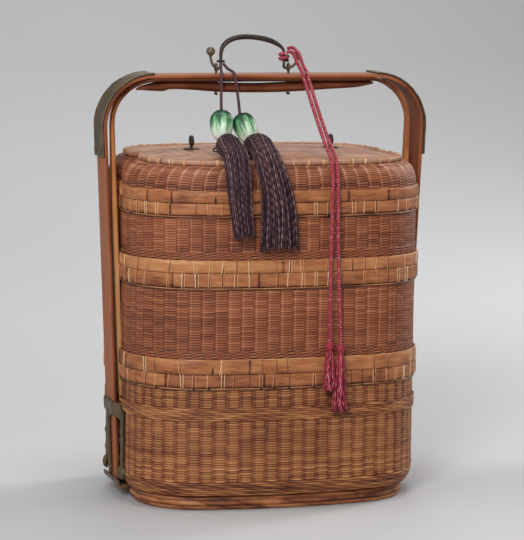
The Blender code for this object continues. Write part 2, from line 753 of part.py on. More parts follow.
def arch(side):
    """A whole arch from its right half."""
    return side + [(0.0, side[-1][1])] + [(-x, z) for x, z in reversed(side)]


def outer_x(level, depth=0.0):
    """Distance of the outer strip's leg from the middle at a level."""
    side = outer_side(depth)
    (low_x, low_z), (high_x, high_z) = side[0], side[1]
    return low_x + (high_x - low_x) * (level - low_z) / (high_z - low_z)


def slat_x(level, depth=0.0):
    side = slat_side(depth)
    (low_x, low_z), (high_x, high_z) = side[0], side[1]
    return low_x + (high_x - low_x) * (level - low_z) / (high_z - low_z)


def eye_holes(obj):
    for x in EYE_PLACES:
        drill(obj, (x, 0, HANDLE_TOP), "Z", EYE_WIRE_RADIUS + SEAT, 4 * GRIP_DEPTH)


def handle_outer_strip():
    """The wide bamboo strip over the top and down both ends of the basket."""
    outline = arch(outer_side(0.0)) + list(reversed(arch(outer_side(STRIP_THICKNESS))))
    strip = mesh_of(side_cut("handle_outer_strip", outline, HANDLE_WIDTH, "handle_bamboo"))
    eye_holes(strip)
    for side in (-1, 1):
        for start, end in strap_rivet_lines(side):
            combine(strip, rod(start, end, RIVET_RADIUS + SEAT), "DIFFERENCE")
        place_at = (side * outer_x(FORK_NAIL_LEVEL), 0, FORK_NAIL_LEVEL)
        drill(strip, place_at, "X", RIVET_RADIUS + SEAT, HANDLE_WIDTH)
    return strip


def handle_inner_strip():
    """The second strip: as wide as the handle on top, and a narrow slat in the basket's end grooves."""
    outer = arch(slat_side(0.0))
    inner = arch(slat_side(SLAT_THICKNESS))
    half = len(outer) // 2
    loops = []
    for index, ((ox, oz), (ix, iz)) in enumerate(zip(outer, inner)):
        along = min(index, len(outer) - 1 - index)
        share = max(0.0, along - 2) / (half - 3)
        half_width = SLAT_WIDTH / 2 + (HANDLE_WIDTH - SLAT_WIDTH) / 2 * min(1.0, share) ** 3
        loops.append([
            (ox, -half_width, oz), (ox, half_width, oz), (ix, half_width, iz), (ix, -half_width, iz),
        ])
    strip = loft("handle_inner_strip", loops, "slat_bamboo")
    eye_holes(strip)
    for side in (-1, 1):
        place_at = (side * slat_x(FORK_NAIL_LEVEL), 0, FORK_NAIL_LEVEL)
        drill(strip, place_at, "X", RIVET_RADIUS + SEAT, SLAT_WIDTH)
    return strip


# Shares of the grip bar's half length, half width and depth: place along, side shift, half width,
# top and bottom below the strips. The left end runs out in a free tip at the front.
GRIP_SECTION_SHARES = [
    (-1.02, -0.93, 0.06, 0.52, 0.66),
    (-0.97, -0.62, 0.30, 0.34, 0.70),
    (-0.87, -0.22, 0.66, 0.16, 0.80),
    (-0.79, 0.0, 0.86, 0.04, 0.84),
    (-0.73, 0.0, 0.88, 0.02, 0.66),
    (-0.55, 0.0, 0.90, 0.0, 0.76),
    (-0.35, 0.0, 0.90, 0.12, 0.94),
    (-0.05, 0.0, 0.90, 0.22, 1.0),
    (0.22, 0.0, 0.90, 0.12, 0.94),
    (0.50, 0.0, 0.88, 0.0, 0.74),
    (0.72, 0.0, 0.84, 0.02, 0.60),
    (0.86, 0.0, 0.70, 0.03, 0.32),
]


def grip_bar():
    """A split bamboo bar under the strips, rounded below."""
    half_length = GRIP_LENGTH / 2
    half_width = HANDLE_WIDTH / 2
    loops = []
    for along, shift, width, top, bottom in GRIP_SECTION_SHARES:
        x = along * half_length
        y = shift * half_width
        w = width * half_width
        high = GRIP_TOP - top * GRIP_DEPTH
        low = GRIP_TOP - bottom * GRIP_DEPTH
        third = (high - low) / 3
        loops.append([
            (x, y - w, high), (x, y + w, high), (x, y + w, high - third),
            (x, y + w / 2, low), (x, y - w / 2, low), (x, y - w, high - third),
        ])
    eye_holes(loft("grip_bar", loops, "handle_bamboo"))


# Metal fittings

FORK_NAIL_LEVEL = SPACER_BOTTOM + SPACER_HEIGHT / 2
KNEE_LEVEL = HANDLE_TOP - BEND_RADIUS


def strap_rivet_lines(side):
    """Start and end of the two rivets through a shoulder strap's lower end."""
    level = KNEE_LEVEL - STRAP_DROP + STRAP_RIVET_RAISE
    outer = outer_x(level) + SEAT + METAL_THICKNESS
    inner = outer_x(level, STRIP_THICKNESS) - SEAT
    lines = []
    for end in (-1, 1):
        y = end * STRAP_RIVET_SPREAD / 2
        lines.append(((side * inner, y, level), (side * (outer + SEAT), y, level)))
    return lines


def shoulder_strap(side, name):
    """A metal strap over the outside of the bend, with two rivets at its lower end."""
    low = KNEE_LEVEL - STRAP_DROP
    inner_face = outer_side(-SEAT, low)
    outer_face = outer_side(-SEAT - METAL_THICKNESS, low)
    tip_x = inner_face[-1][0] - STRAP_TOP_REACH
    inner_face.append((tip_x, inner_face[-1][1]))
    outer_face.append((tip_x, outer_face[-1][1]))
    outline = [(side * x, z) for x, z in inner_face + outer_face[::-1]]
    strap = mesh_of(side_cut("shoulder_strap_" + name, outline, STRAP_WIDTH, "patinated_metal"))
    for (start, end), where in zip(strap_rivet_lines(side), ("front", "back")):
        drill(strap, end, "X", RIVET_RADIUS + SEAT, STRAP_WIDTH / 2)
        rivet(f"shoulder_rivet_{name}_{where}", start, end, side)


def turned(name, profile, steps, slot):
    """A solid turned about Z from (radius, level) points that run from its top to its bottom."""
    mesh = bpy.data.meshes.new(name)
    bm = bmesh.new()
    verts = [bm.verts.new((radius, 0, level)) for radius, level in profile]
    for a, b in zip(verts, verts[1:]):
        bm.edges.new((a, b))
    bm.to_mesh(mesh)
    bm.free()
    obj = place(name, mesh, slot)
    screw = obj.modifiers.new("turn", "SCREW")
    screw.steps = steps
    screw.render_steps = steps
    screw.use_merge_vertices = True
    screw.merge_threshold = 0.00001
    smooth(obj)
    return obj


def rivet(name, start, end, side):
    """A shank from start to end with a domed head on its outer end."""
    length = abs(end[0] - start[0])
    profile = [
        (0.0, RIVET_HEAD_HEIGHT), (RIVET_HEAD_RADIUS * 0.6, RIVET_HEAD_HEIGHT * 0.82),
        (RIVET_HEAD_RADIUS, RIVET_HEAD_HEIGHT * 0.3), (RIVET_HEAD_RADIUS, 0.0),
        (RIVET_RADIUS, 0.0), (RIVET_RADIUS, -length), (0.0, -length),
    ]
    obj = turned(name, profile, 12, "patinated_metal")
    obj.rotation_euler.y = side * math.pi / 2
    obj.location = end


def fork_face(y, level):
    """Distance of the fork's inner face from the middle: over the strip it stands proud of it."""
    over_strip = outer_x(level) + SEAT
    beside = HALF_WIDTH - WALL_INSET + SEAT
    if level > BELT_BOTTOM - 2 * SEAT:
        beside += BELT_THICKNESS + SEAT
    half_strip = HANDLE_WIDTH / 2
    run_out = FORK_WIDTH / 2 - PRONG_WIDTH - half_strip
    share = min(1.0, max(0.0, (abs(y) - half_strip - SEAT) / run_out))
    return over_strip + (beside - over_strip) * share


def fork_rows():
    """The fork's (level, half width) rows from the prongs' ends to the top of the cap."""
    half = FORK_WIDTH / 2
    return [
        (FORK_DISC_HEIGHT - FORK_DISC_RADIUS * 0.8, half), (FORK_NAIL_HEIGHT, half),
        (FORK_TOP - FORK_CAP_HEIGHT, half), (BELT_BOTTOM - METAL_THICKNESS, half),
        (BELT_BOTTOM - SEAT, half), (FORK_TOP, FORK_TOP_WIDTH / 2),
    ]


def fork_grid(side):
    """The fork's open surface: a cap across the leg and three prongs below it."""
    inner = HANDLE_WIDTH / 2 + SEAT
    middle = PRONG_WIDTH / 2
    rows = fork_rows()
    bm = bmesh.new()
    grid = []
    for level, half in rows:
        reach = max(half - PRONG_WIDTH, inner + SEAT)
        columns = [-half, -reach, -inner, -middle, middle, inner, reach, half]
        grid.append([bm.verts.new((side * fork_face(y, level), y, level)) for y in columns])
    for row in range(len(rows) - 1):
        below_cap = rows[row][0] < FORK_TOP - FORK_CAP_HEIGHT - SEAT
        for column in range(len(grid[row]) - 1):
            if below_cap and column % 3 != 0:
                continue
            bm.faces.new((
                grid[row][column], grid[row][column + 1],
                grid[row + 1][column + 1], grid[row + 1][column],
            ))
    loose = [vert for vert in bm.verts if not vert.link_faces]
    bmesh.ops.delete(bm, geom=loose, context="VERTS")
    bmesh.ops.recalc_face_normals(bm, faces=bm.faces)
    if sum(face.normal.x for face in bm.faces) * side < 0:
        bmesh.ops.reverse_faces(bm, faces=bm.faces)
    return bm


def fork_fitting(side, name):
    """The forked metal plate that holds a leg to the bottom tier, with a disc on each outer prong."""
    bm = fork_grid(side)
    mesh = bpy.data.meshes.new("fork_" + name)
    bm.to_mesh(mesh)
    bm.free()
    fork = place("fork_" + name, mesh, "patinated_metal")
    shell = fork.modifiers.new("metal", "SOLIDIFY")
    shell.thickness = METAL_THICKNESS
    shell.offset = 1
    studs = [
        (FORK_DISC_HEIGHT, FORK_DISC_RADIUS, 16), (FORK_NAIL_HEIGHT, PRONG_WIDTH / 2 + SEAT, 10),
    ]
    for end in (-1, 1):
        y = end * (FORK_WIDTH - PRONG_WIDTH) / 2
        for level, radius, sides in studs:
            face = side * fork_face(FORK_WIDTH / 2, level)
            tip = face + side * FORK_DISC_THICKNESS
            combine(fork, rod((face, y, level), (tip, y, level), radius, sides), "UNION")
    outer = outer_x(FORK_NAIL_LEVEL) + SEAT + METAL_THICKNESS
    start = (side * (slat_x(FORK_NAIL_LEVEL, SLAT_THICKNESS) - SEAT), 0, FORK_NAIL_LEVEL)
    end = (side * (outer + SEAT), 0, FORK_NAIL_LEVEL)
    drill(fork, end, "X", RIVET_RADIUS + SEAT, STRAP_WIDTH / 2)
    rivet("fork_rivet_" + name, start, end, side)


def leg_spacer(side, name):
    """A bamboo block that holds the slat off the outer strip behind the fork."""
    low, high = SPACER_BOTTOM, SPACER_BOTTOM + SPACER_HEIGHT
    outline = [
        (side * (slat_x(low) + SEAT), low), (side * (outer_x(low, STRIP_THICKNESS) - SEAT), low),
        (side * (outer_x(high, STRIP_THICKNESS) - SEAT), high), (side * (slat_x(high) + SEAT), high),
    ]
    spacer = mesh_of(side_cut("leg_spacer_" + name, outline, SLAT_WIDTH, "slat_bamboo"))
    place_at = (side * outer_x(FORK_NAIL_LEVEL), 0, FORK_NAIL_LEVEL)
    drill(spacer, place_at, "X", RIVET_RADIUS + SEAT, HANDLE_WIDTH)


def under_strap():
    """One strap under the basket from leg to leg, turned up outside the strips' feet."""
    face = outer_x(STRIP_FOOT_Z) + SEAT
    low = FOOT_HEIGHT + SEAT
    high = low + UNDER_STRAP_THICKNESS
    tip = FORK_DISC_HEIGHT - FORK_DISC_RADIUS - SEAT
    bend = 2 * UNDER_STRAP_THICKNESS
    outside = [(face + UNDER_STRAP_THICKNESS, tip)]
    outside.append((face + UNDER_STRAP_THICKNESS, low + bend))
    outside.append((face + UNDER_STRAP_THICKNESS - bend / 3, low + bend / 3))
    outside.append((face + UNDER_STRAP_THICKNESS - bend, low))
    inside = [(face, tip), (face, high)]
    right = outside[::-1] + inside
    outline = [(x, z) for x, z in right] + [(-x, z) for x, z in reversed(right)]
    side_cut("under_strap", outline, UNDER_STRAP_WIDTH, "patinated_metal")


def eye_post(x, name):
    """A ring on a shank through the strips and the grip, with its end clinched below."""
    bpy.ops.mesh.primitive_torus_add(
        major_radius=EYE_RADIUS, minor_radius=EYE_WIRE_RADIUS, major_segments=16, minor_segments=8,
        location=(x, 0, EYE_LEVEL), rotation=(0, math.pi / 2, 0),
    )
    ring = adopt(bpy.context.object, "eye_post_" + name, "patinated_metal")
    low = GRIP_TOP - GRIP_DEPTH - SEAT - EYE_WIRE_RADIUS
    combine(ring, rod((x, 0, low), (x, 0, EYE_LEVEL - EYE_RADIUS), EYE_WIRE_RADIUS), "UNION")
    combine(ring, rod((x, -EYE_CLINCH, low), (x, EYE_CLINCH, low), EYE_WIRE_RADIUS), "UNION")


# Bail

# Shares of the bail's width and rise along its arch, and of its breadth and thickness there:
# thin wire at the legs, a broad flat strap over the top.
BAIL_ARCH_SHARES = [
    (-0.500, 0.22, 0.10), (-0.497, 0.46, 0.30), (-0.475, 0.66, 0.55), (-0.42, 0.80, 0.80),
    (-0.33, 0.92, 0.95), (-0.20, 0.99, 1.0), (-0.07, 1.0, 1.0), (0.08, 0.97, 1.0),
    (0.22, 0.91, 0.95), (0.34, 0.82, 0.80), (0.43, 0.71, 0.45), (0.480, 0.61, 0.12),
    (0.497, 0.50, 0.0), (0.500, 0.22, 0.0),
]
# Shares of the hook's reach and rise, from the leg round under the eye and up to the ball.
BAIL_HOOK_SHARES = [(0.0, 0.06), (0.10, -0.02), (0.28, -0.04), (0.46, 0.0), (0.68, 0.08),
                    (0.86, 0.22), (0.96, 0.38), (1.0, 0.52)]
BALL_STEPS = 5


def bail_half(side, reach, rise):
    """Path points of one hook, from its ball to the leg, with the wire's radius at each."""
    leg_x = BAIL_CENTRE_X + side * BAIL_WIDTH / 2
    points = []
    ball_bottom = EYE_LEVEL + rise - 2 * BAIL_BALL_RADIUS
    for step in range(BALL_STEPS, 0, -1):
        turn = math.pi * (0.10 + 0.86 * step / BALL_STEPS)
        level = ball_bottom + BAIL_BALL_RADIUS * (1 - math.cos(turn))
        points.append((leg_x + side * reach, level, BAIL_BALL_RADIUS * math.sin(turn)))
    for along, up in reversed(BAIL_HOOK_SHARES):
        points.append((leg_x + side * along * reach, EYE_LEVEL + up * rise, BAIL_WIRE_RADIUS))
    return points


def bail():
    """The swinging bail: a strap drawn out to a wire hook with a ball at each end."""
    path = [(x, z, radius, radius) for x, z, radius in bail_half(-1, LEFT_HOOK_REACH, LEFT_HOOK_RISE)]
    for along, rise, swell in BAIL_ARCH_SHARES:
        breadth = BAIL_WIRE_RADIUS + (BAIL_HALF_BREADTH - BAIL_WIRE_RADIUS) * swell
        thickness = BAIL_WIRE_RADIUS + (BAIL_HALF_THICKNESS - BAIL_WIRE_RADIUS) * swell
        path.append((
            BAIL_CENTRE_X + along * BAIL_WIDTH, EYE_LEVEL + rise * BAIL_RISE, breadth, thickness
        ))
    right = bail_half(1, RIGHT_HOOK_REACH, RIGHT_HOOK_RISE)
    path += [(x, z, radius, radius) for x, z, radius in reversed(right)]
    loops = []
    for index, (x, z, breadth, thickness) in enumerate(path):
        before = path[max(index - 1, 0)]
        after = path[min(index + 1, len(path) - 1)]
        tangent = Vector((after[0] - before[0], 0, after[1] - before[1])).normalized()
        normal = Vector((-tangent.z, 0, tangent.x))
        centre = Vector((x, 0, z))
        loop = []
        for step in range(8):
            angle = 2 * math.pi * step / 8
            loop.append(
                centre + normal * (thickness * math.sin(angle))
                + Vector((0, breadth * math.cos(angle), 0))
            )
        loops.append(loop)
    obj = loft("bail", loops, "bail_metal")
    smooth(obj)
    hang_on_pivot(obj, (BAIL_CENTRE_X, 0, EYE_LEVEL))


def hang_on_pivot(obj, pivot):
    """Puts the object's origin on its joint's axis without moving its shape."""
    obj.data.transform(Matrix.Translation(-Vector(pivot)))
    obj.location = pivot


# Cords

def smooth_route(route, step):
    """Points about a step apart on a Catmull-Rom curve through the route."""
    knots = [Vector(point) for point in route]
    ends = [2 * knots[0] - knots[1]] + knots + [2 * knots[-1] - knots[-2]]
    fine = []
    for a, b, c, d in zip(ends, ends[1:], ends[2:], ends[3:]):
        for index in range(20):
            t = index / 20
            fine.append(0.5 * (
                2 * b + (c - a) * t + (2 * a - 5 * b + 4 * c - d) * t ** 2
                + (3 * b - a - 3 * c + d) * t ** 3
            ))
    fine.append(knots[-1])
    lengths = [0.0]
    for a, b in zip(fine, fine[1:]):
        lengths.append(lengths[-1] + (b - a).length)
    count = max(2, round(lengths[-1] / step))
    points = []
    place_in = 0
    for index in range(count + 1):
        wanted = lengths[-1] * index / count
        while place_in < len(fine) - 2 and lengths[place_in + 1] < wanted:
            place_in += 1
        span = lengths[place_in + 1] - lengths[place_in]
        share = (wanted - lengths[place_in]) / span if span else 0.0
        points.append(fine[place_in].lerp(fine[place_in + 1], share))
    return points


def tube(name, points, radius, slot, resolution=2):
    """A round cord along points."""
    curve = bpy.data.curves.new(name, "CURVE")
    curve.dimensions = "3D"
    curve.bevel_depth = radius
    curve.bevel_resolution = resolution
    curve.use_fill_caps = True
    spline = curve.splines.new("POLY")
    spline.points.add(len(points) - 1)
    for point, place_at in zip(spline.points, points):
        point.co = (*place_at, 1)
    return place(name, curve, slot)


def purple_loop():
    """The ring of cord round the bail's left leg that the two beads hang from."""
    major = BAIL_WIRE_RADIUS + LOOP_CLEARANCE + LOOP_CORD_RADIUS
    level = EYE_LEVEL + EYE_RADIUS + EYE_WIRE_RADIUS + SEAT + LOOP_CORD_RADIUS
    bpy.ops.mesh.primitive_torus_add(
        major_radius=major, minor_radius=LOOP_CORD_RADIUS, major_segments=16, minor_segments=8,
        location=(BAIL_CENTRE_X - BAIL_WIDTH / 2, 0, level),
    )
    adopt(bpy.context.object, "purple_loop", "purple_cord")


def red_hitch():
    """The red cord's turns round the bail's right leg, one unbroken winding."""
    x = BAIL_CENTRE_X + BAIL_WIDTH / 2
    radius = BAIL_WIRE_RADIUS + HITCH_CLEARANCE + HITCH_RADIUS
    height = HITCH_TURNS * HITCH_PITCH
    start = EYE_LEVEL + EYE_RADIUS + EYE_WIRE_RADIUS + SEAT + HITCH_RADIUS
    count = round(HITCH_TURNS * HITCH_STEPS_PER_TURN)
    points = []
    for step in range(count + 1):
        angle = 2 * math.pi * HITCH_TURNS * (step / count - 1) - math.pi / 2
        points.append(Vector((
            x + radius * math.cos(angle), radius * math.sin(angle), start + height * step / count,
        )))
    least = min(
        (a - b).length - 2 * HITCH_RADIUS
        for i, a in enumerate(points)
        for b in points[i + HITCH_STEPS_PER_TURN // 2:]
    )
    print(f"red_hitch least gap to itself {least * 1000:.2f} mm")
    tube("red_hitch", points, HITCH_RADIUS, "red_cord", 1)


def bead(name, end, tassel_top):
    """A glazed barrel bead, on the line from the end of its cord to the top of its tassel."""
    start, stop = Vector(end), Vector(tassel_top)
    axis = (stop - start).normalized()
    bpy.ops.mesh.primitive_uv_sphere_add(segments=14, ring_count=8, radius=1)
    obj = adopt(bpy.context.object, name, "glazed_bead")
    obj.data.transform(Matrix.Diagonal((BEAD_RADIUS, BEAD_RADIUS, BEAD_LENGTH / 2, 1)))
    bpy.ops.mesh.primitive_cylinder_add(vertices=10, radius=BEAD_BORE_RADIUS, depth=2 * BEAD_LENGTH)
    bore = bpy.context.object
    middle = start + axis * (SEAT + BEAD_LENGTH / 2)
    for piece in (obj, bore):
        piece.rotation_mode = "QUATERNION"
        piece.rotation_quaternion = Vector((0, 0, 1)).rotation_difference(-axis)
        piece.location = middle
    combine(obj, bore, "DIFFERENCE")
    smooth(obj)


def flat_tassel(name, sections):
    """A flattened skirt of threads that lies over the lid's front edge."""
    middles = [Vector(section[:3]) for section in sections]
    loops = []
    for index, (x, y, z, width, thickness) in enumerate(sections):
        before = middles[max(index - 1, 0)]
        after = middles[min(index + 1, len(middles) - 1)]
        along = (after - before).normalized()
        across = (Vector((1, 0, 0)) - along * along.x).normalized()
        out = across.cross(along)
        loops.append([
            middles[index] + across * (width * math.cos(angle)) + out * (thickness * math.sin(angle))
            for angle in (2 * math.pi * step / 12 for step in range(12))
        ])
    smooth(loft(name, loops, "purple_cord"))


def hanging_tassel(name, top, bottom, radius):
    """A knot with its tassel, turned from one profile, hanging straight down."""
    x, y, z = top
    knot = RED_KNOT_RADIUS
    length = z - bottom
    profile = [
        (0.0, length), (knot * 0.7, length), (knot, length - knot * 0.6), (knot, length - knot * 1.4),
        (knot * 0.55, length - knot * 2.0), (radius * 0.62, length - knot * 2.9),
        (radius * 0.78, length * 0.42), (radius, 0.0), (0.0, 0.0),
    ]
    turned(name, profile, 12, "red_cord").location = (x, y, bottom)


def with_handle(points):
    """Points or sections of the cords, moved up or down with the handle's top."""
    rise = HANDLE_TOP - ROUTE_HANDLE_TOP
    return [(x, y, z + rise, *rest) for x, y, z, *rest in points]


def cords():
    purple_loop()
    for name, hand_route, bead_end, sections in (
        ("left", PURPLE_LEFT_ROUTE, LEFT_BEAD_END, LEFT_TASSEL_SECTIONS),
        ("right", PURPLE_RIGHT_ROUTE, RIGHT_BEAD_END, RIGHT_TASSEL_SECTIONS),
    ):
        route = with_handle(hand_route)
        tube("purple_cord_" + name, smooth_route(route, PURPLE_STEP), PURPLE_RADIUS, "purple_cord")
        bead("bead_" + name, route[-1], with_handle([bead_end])[0])
        flat_tassel("purple_tassel_" + name, with_handle(sections))
    red_hitch()
    for name, hand_route, end in (
        ("left", RED_LEFT_ROUTE, RED_LEFT_END), ("right", RED_RIGHT_ROUTE, RED_RIGHT_END),
    ):
        route = with_handle(hand_route)
        tube("red_cord_" + name, smooth_route(route, RED_STEP), RED_RADIUS, "red_cord")
        x, y, z = route[-1]
        bottom = end + HANDLE_TOP - ROUTE_HANDLE_TOP
        hanging_tassel("red_tassel_" + name, (x, y, z - SEAT), bottom, RED_TASSEL_RADIUS)


def handle():
    handle_outer_strip()
    handle_inner_strip()
    grip_bar()
    under_strap()
    for side, name in ((-1, "left"), (1, "right")):
        shoulder_strap(side, name)
        fork_fitting(side, name)
        leg_spacer(side, name)
    for x, name in zip(EYE_PLACES, ("left", "right")):
        eye_post(x, name)
    bail()


clear_scene()
PARTS = new_collection("tiered_bamboo_basket")
CUTTERS = new_collection("cutters")
bottom_tier()
staked_wall("middle_wall", MIDDLE_BOTTOM, MIDDLE_TOP)
upper_tier("middle", MIDDLE_BOTTOM, MIDDLE_TOP, MIDDLE_BAND_HEIGHT, MIDDLE_RIM_HEIGHT)
hoop("top_wall", WALL_INSET, WALL_INNER_INSET, TOP_BOTTOM, TOP_TOP, "cane_weave")
upper_tier("top", TOP_BOTTOM, TOP_TOP, TOP_BAND_HEIGHT, TOP_RIM_HEIGHT)
lid()
handle()
cords()
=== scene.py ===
"""Looks of the tiered bamboo food basket: woven tiers and lid, lashed bands, bent handle with its
metal fittings, the bail, two beaded tassels and the doubled red cord. Metres, in the frame's axes."""

import math

import bpy
import numpy as np
from mathutils import Matrix, Vector


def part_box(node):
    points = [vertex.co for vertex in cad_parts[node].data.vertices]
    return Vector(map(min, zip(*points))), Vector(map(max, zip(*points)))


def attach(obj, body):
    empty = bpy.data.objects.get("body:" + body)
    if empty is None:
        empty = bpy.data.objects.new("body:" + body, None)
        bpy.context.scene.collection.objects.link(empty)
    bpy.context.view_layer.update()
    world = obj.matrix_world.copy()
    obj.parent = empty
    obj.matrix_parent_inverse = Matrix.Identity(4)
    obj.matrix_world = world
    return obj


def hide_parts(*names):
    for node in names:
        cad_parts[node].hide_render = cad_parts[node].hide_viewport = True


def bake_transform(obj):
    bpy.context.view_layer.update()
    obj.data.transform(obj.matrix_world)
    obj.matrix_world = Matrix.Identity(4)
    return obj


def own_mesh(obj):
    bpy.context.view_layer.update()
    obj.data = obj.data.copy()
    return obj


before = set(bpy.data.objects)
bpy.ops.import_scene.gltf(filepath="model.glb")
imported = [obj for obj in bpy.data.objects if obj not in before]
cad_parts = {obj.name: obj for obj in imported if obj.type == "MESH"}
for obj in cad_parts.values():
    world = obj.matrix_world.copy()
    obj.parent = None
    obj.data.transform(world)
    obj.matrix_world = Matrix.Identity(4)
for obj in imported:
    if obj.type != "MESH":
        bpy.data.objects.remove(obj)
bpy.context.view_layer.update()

# The basket's plan, as in the part
HALF_WIDTH, HALF_DEPTH, FRONT_RADIUS, CORNER_RADIUS = 0.150, 0.118, 0.488, 0.076
GROOVE_HALF_WIDTH, GROOVE_DEPTH = 0.019, 0.012
PANEL_HALF_WIDTH, PANEL_HALF_DEPTH = 0.131, 0.109
PANEL = (PANEL_HALF_WIDTH, PANEL_HALF_DEPTH, 0.066, GROOVE_DEPTH * 0.3)
WALL_INSET, WALL_THICKNESS, BAND_THICKNESS, SEAT = 0.0025, 0.003, 0.0022, 0.0003
STAKES, SAMPLES = 72, 8
AROUND = STAKES * SAMPLES
TABLE_POINTS = 4801


def low(node):
    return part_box(node)[0][2]


def high(node):
    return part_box(node)[1][2]


def unit(vectors):
    return vectors / np.maximum(np.linalg.norm(vectors, axis=-1, keepdims=True), 1e-12)


def circle(count):
    return 2 * math.pi * np.arange(count) / count


def as_column(values):
    """A value or a row of values as a column; a table of them stays as it is."""
    return np.reshape(values, (-1, 1)) if np.ndim(values) < 2 else values


def travel(line):
    """How far along a line each of its points lies."""
    return np.concatenate([[0], np.cumsum(np.linalg.norm(np.diff(line, axis=0), axis=1))])


def plan(params, inset=0.0, half_width=HALF_WIDTH, half_depth=HALF_DEPTH,
         corner_radius=CORNER_RADIUS, groove=GROOVE_DEPTH):
    """Points of the outline at params from 0 to 12, three to a quarter: front, corner, groove."""
    params = np.mod(np.asarray(params, float), 12)
    quarter = np.floor(params / 3).astype(int)
    q = params - 3 * quarter
    q = np.where(quarter % 2 == 1, 3 - q, q)
    front = q < 1
    centre_y = FRONT_RADIUS - half_depth
    corner_x = half_width - corner_radius
    corner_y = centre_y - math.sqrt((FRONT_RADIUS - corner_radius) ** 2 - corner_x ** 2)
    joint = math.atan2(corner_y - centre_y, corner_x)
    front_angle = -math.pi / 2 + (joint + math.pi / 2) * np.clip(q, 0, 1)
    angle = np.where(front, front_angle, joint * (1 - np.clip(q - 1, 0, 1)))
    radius = np.where(front, FRONT_RADIUS, corner_radius) - inset
    x = np.where(front, 0, corner_x) + radius * np.cos(angle)
    y = np.where(front, centre_y, corner_y) + radius * np.sin(angle)
    # from the corner's end the outline runs straight to the groove, then into it
    share = np.clip(q - 2, 0, 1)
    depth = groove * (1 - np.cos(math.pi * share)) / 2
    x = np.where(q > 2, half_width - inset - depth, x)
    y = np.where(q > 2, -GROOVE_HALF_WIDTH * (1 - share), y)
    x = np.where(quarter >= 2, -x, x)
    y = np.where((quarter == 1) | (quarter == 2), -y, y)
    return np.stack([x, y], -1)


# Params at equal steps along the outline, from the middle of the front
TABLE = np.linspace(0, 12, TABLE_POINTS)
TRAVEL = travel(plan(TABLE))
PERIMETER = TRAVEL[-1]
PARAMS = np.interp(np.arange(AROUND) * PERIMETER / AROUND, TRAVEL, TABLE)
# The stake of each column, and the share across it
STAKE = np.arange(AROUND) // SAMPLES
ACROSS = np.arange(AROUND) / SAMPLES - STAKE


def outward(params):
    """Unit directions out of the outline, in plan."""
    along = plan(params + 0.004) - plan(params - 0.004)
    return unit(np.stack([along[..., 1], -along[..., 0]], -1))


def ring_points(insets, levels, *outline):
    """Rings round the basket, for rows, or rows by columns, of insets and levels."""
    insets, levels = as_column(insets), as_column(levels)
    shape = np.broadcast_shapes(insets.shape, levels.shape, (1, AROUND))
    flat = plan(np.broadcast_to(PARAMS, shape), np.broadcast_to(insets, shape), *outline)
    return np.concatenate([flat, np.broadcast_to(levels, shape)[..., None]], -1)


def rings_along(path, side, lift, width, thick, angle):
    """Rings of points about a path, width of them along side and thick along lift."""
    path, side, lift = (np.atleast_2d(v)[:, None] for v in (path, side, lift))
    rings = path + side * (as_column(width) * np.cos(angle))[..., None]
    return rings + lift * (as_column(thick) * np.sin(angle))[..., None]


class Soup:
    """Vertices, faces and a tone for each vertex, gathered into one mesh."""

    def __init__(self):
        self.verts, self.faces, self.tones, self.count = [], [], [], 0

    def add(self, points, faces, tone):
        points = np.asarray(points, float).reshape(-1, 3)
        self.verts.append(points)
        self.tones.append(np.broadcast_to(np.asarray(tone, float).reshape(-1), (len(points),)))
        self.faces += [np.asarray(face) + self.count for face in faces]
        self.count += len(points)

    def grid(self, points, tone, wrap_rows=False, wrap_columns=True, caps=False):
        rows, columns = points.shape[:2]
        index = np.arange(rows * columns).reshape(rows, columns)
        near, far = (index, np.roll(index, -1, 0)) if wrap_rows else (index[:-1], index[1:])
        if wrap_columns:
            quads = [near, np.roll(near, -1, 1), np.roll(far, -1, 1), far]
        else:
            quads = [near[:, :-1], near[:, 1:], far[:, 1:], far[:, :-1]]
        faces = [np.stack(quads, -1).reshape(-1, 4)]
        if caps:
            faces += [index[:1, ::-1], index[-1:]]
        tone = np.asarray(tone, float)
        if tone.ndim == 1:
            tone = tone[:, None]
        self.add(points, faces, np.broadcast_to(tone, (rows, columns)))

    def tube(self, path, up, half_width, half_thickness=None, sides=6, tone=0.5):
        """A rod along path, its thickness along up, with closed ends."""
        path = np.asarray(path, float)
        tangent = unit(np.gradient(path, axis=0))
        side = unit(np.cross(np.broadcast_to(up, path.shape), tangent))
        if half_thickness is None:
            half_thickness = half_width
        rings = rings_along(path, side, np.cross(tangent, side), half_width, half_thickness, circle(sides))
        self.grid(rings, tone, caps=True)

    def build(self, name, mat, body=None, nodes=(), slot=None):
        verts = np.concatenate(self.verts)
        mesh = bpy.data.meshes.new(name)
        mesh.vertices.add(len(verts))
        mesh.vertices.foreach_set("co", verts.ravel())
        sizes = np.concatenate([np.full(len(face), face.shape[1]) for face in self.faces])
        loops = np.concatenate([face.ravel() for face in self.faces])
        mesh.loops.add(len(loops))
        mesh.loops.foreach_set("vertex_index", loops.astype(np.int32))
        mesh.polygons.add(len(sizes))
        starts = np.concatenate([[0], np.cumsum(sizes)[:-1]])
        mesh.polygons.foreach_set("loop_start", starts.astype(np.int32))
        mesh.update(calc_edges=True)
        mesh.polygons.foreach_set("use_smooth", np.full(len(sizes), True))
        tones = mesh.attributes.new("tone", "FLOAT", "POINT")
        tones.data.foreach_set("value", np.concatenate(self.tones).astype(np.float32))
        mesh.materials.append(mat)
        obj = bpy.data.objects.new(name, mesh)
        bpy.context.scene.collection.objects.link(obj)
        slot = slot or SLOTS.get(mat.name)
        if nodes:
            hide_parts(*nodes)
        if body:
            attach(obj, body)
        return obj


def gridded(name, mat, body, nodes, points, tone, slot=None, **how):
    """A piece that is one grid."""
    soup = Soup()
    soup.grid(points, tone, **how)
    return soup.build(name, mat, body, nodes, slot)


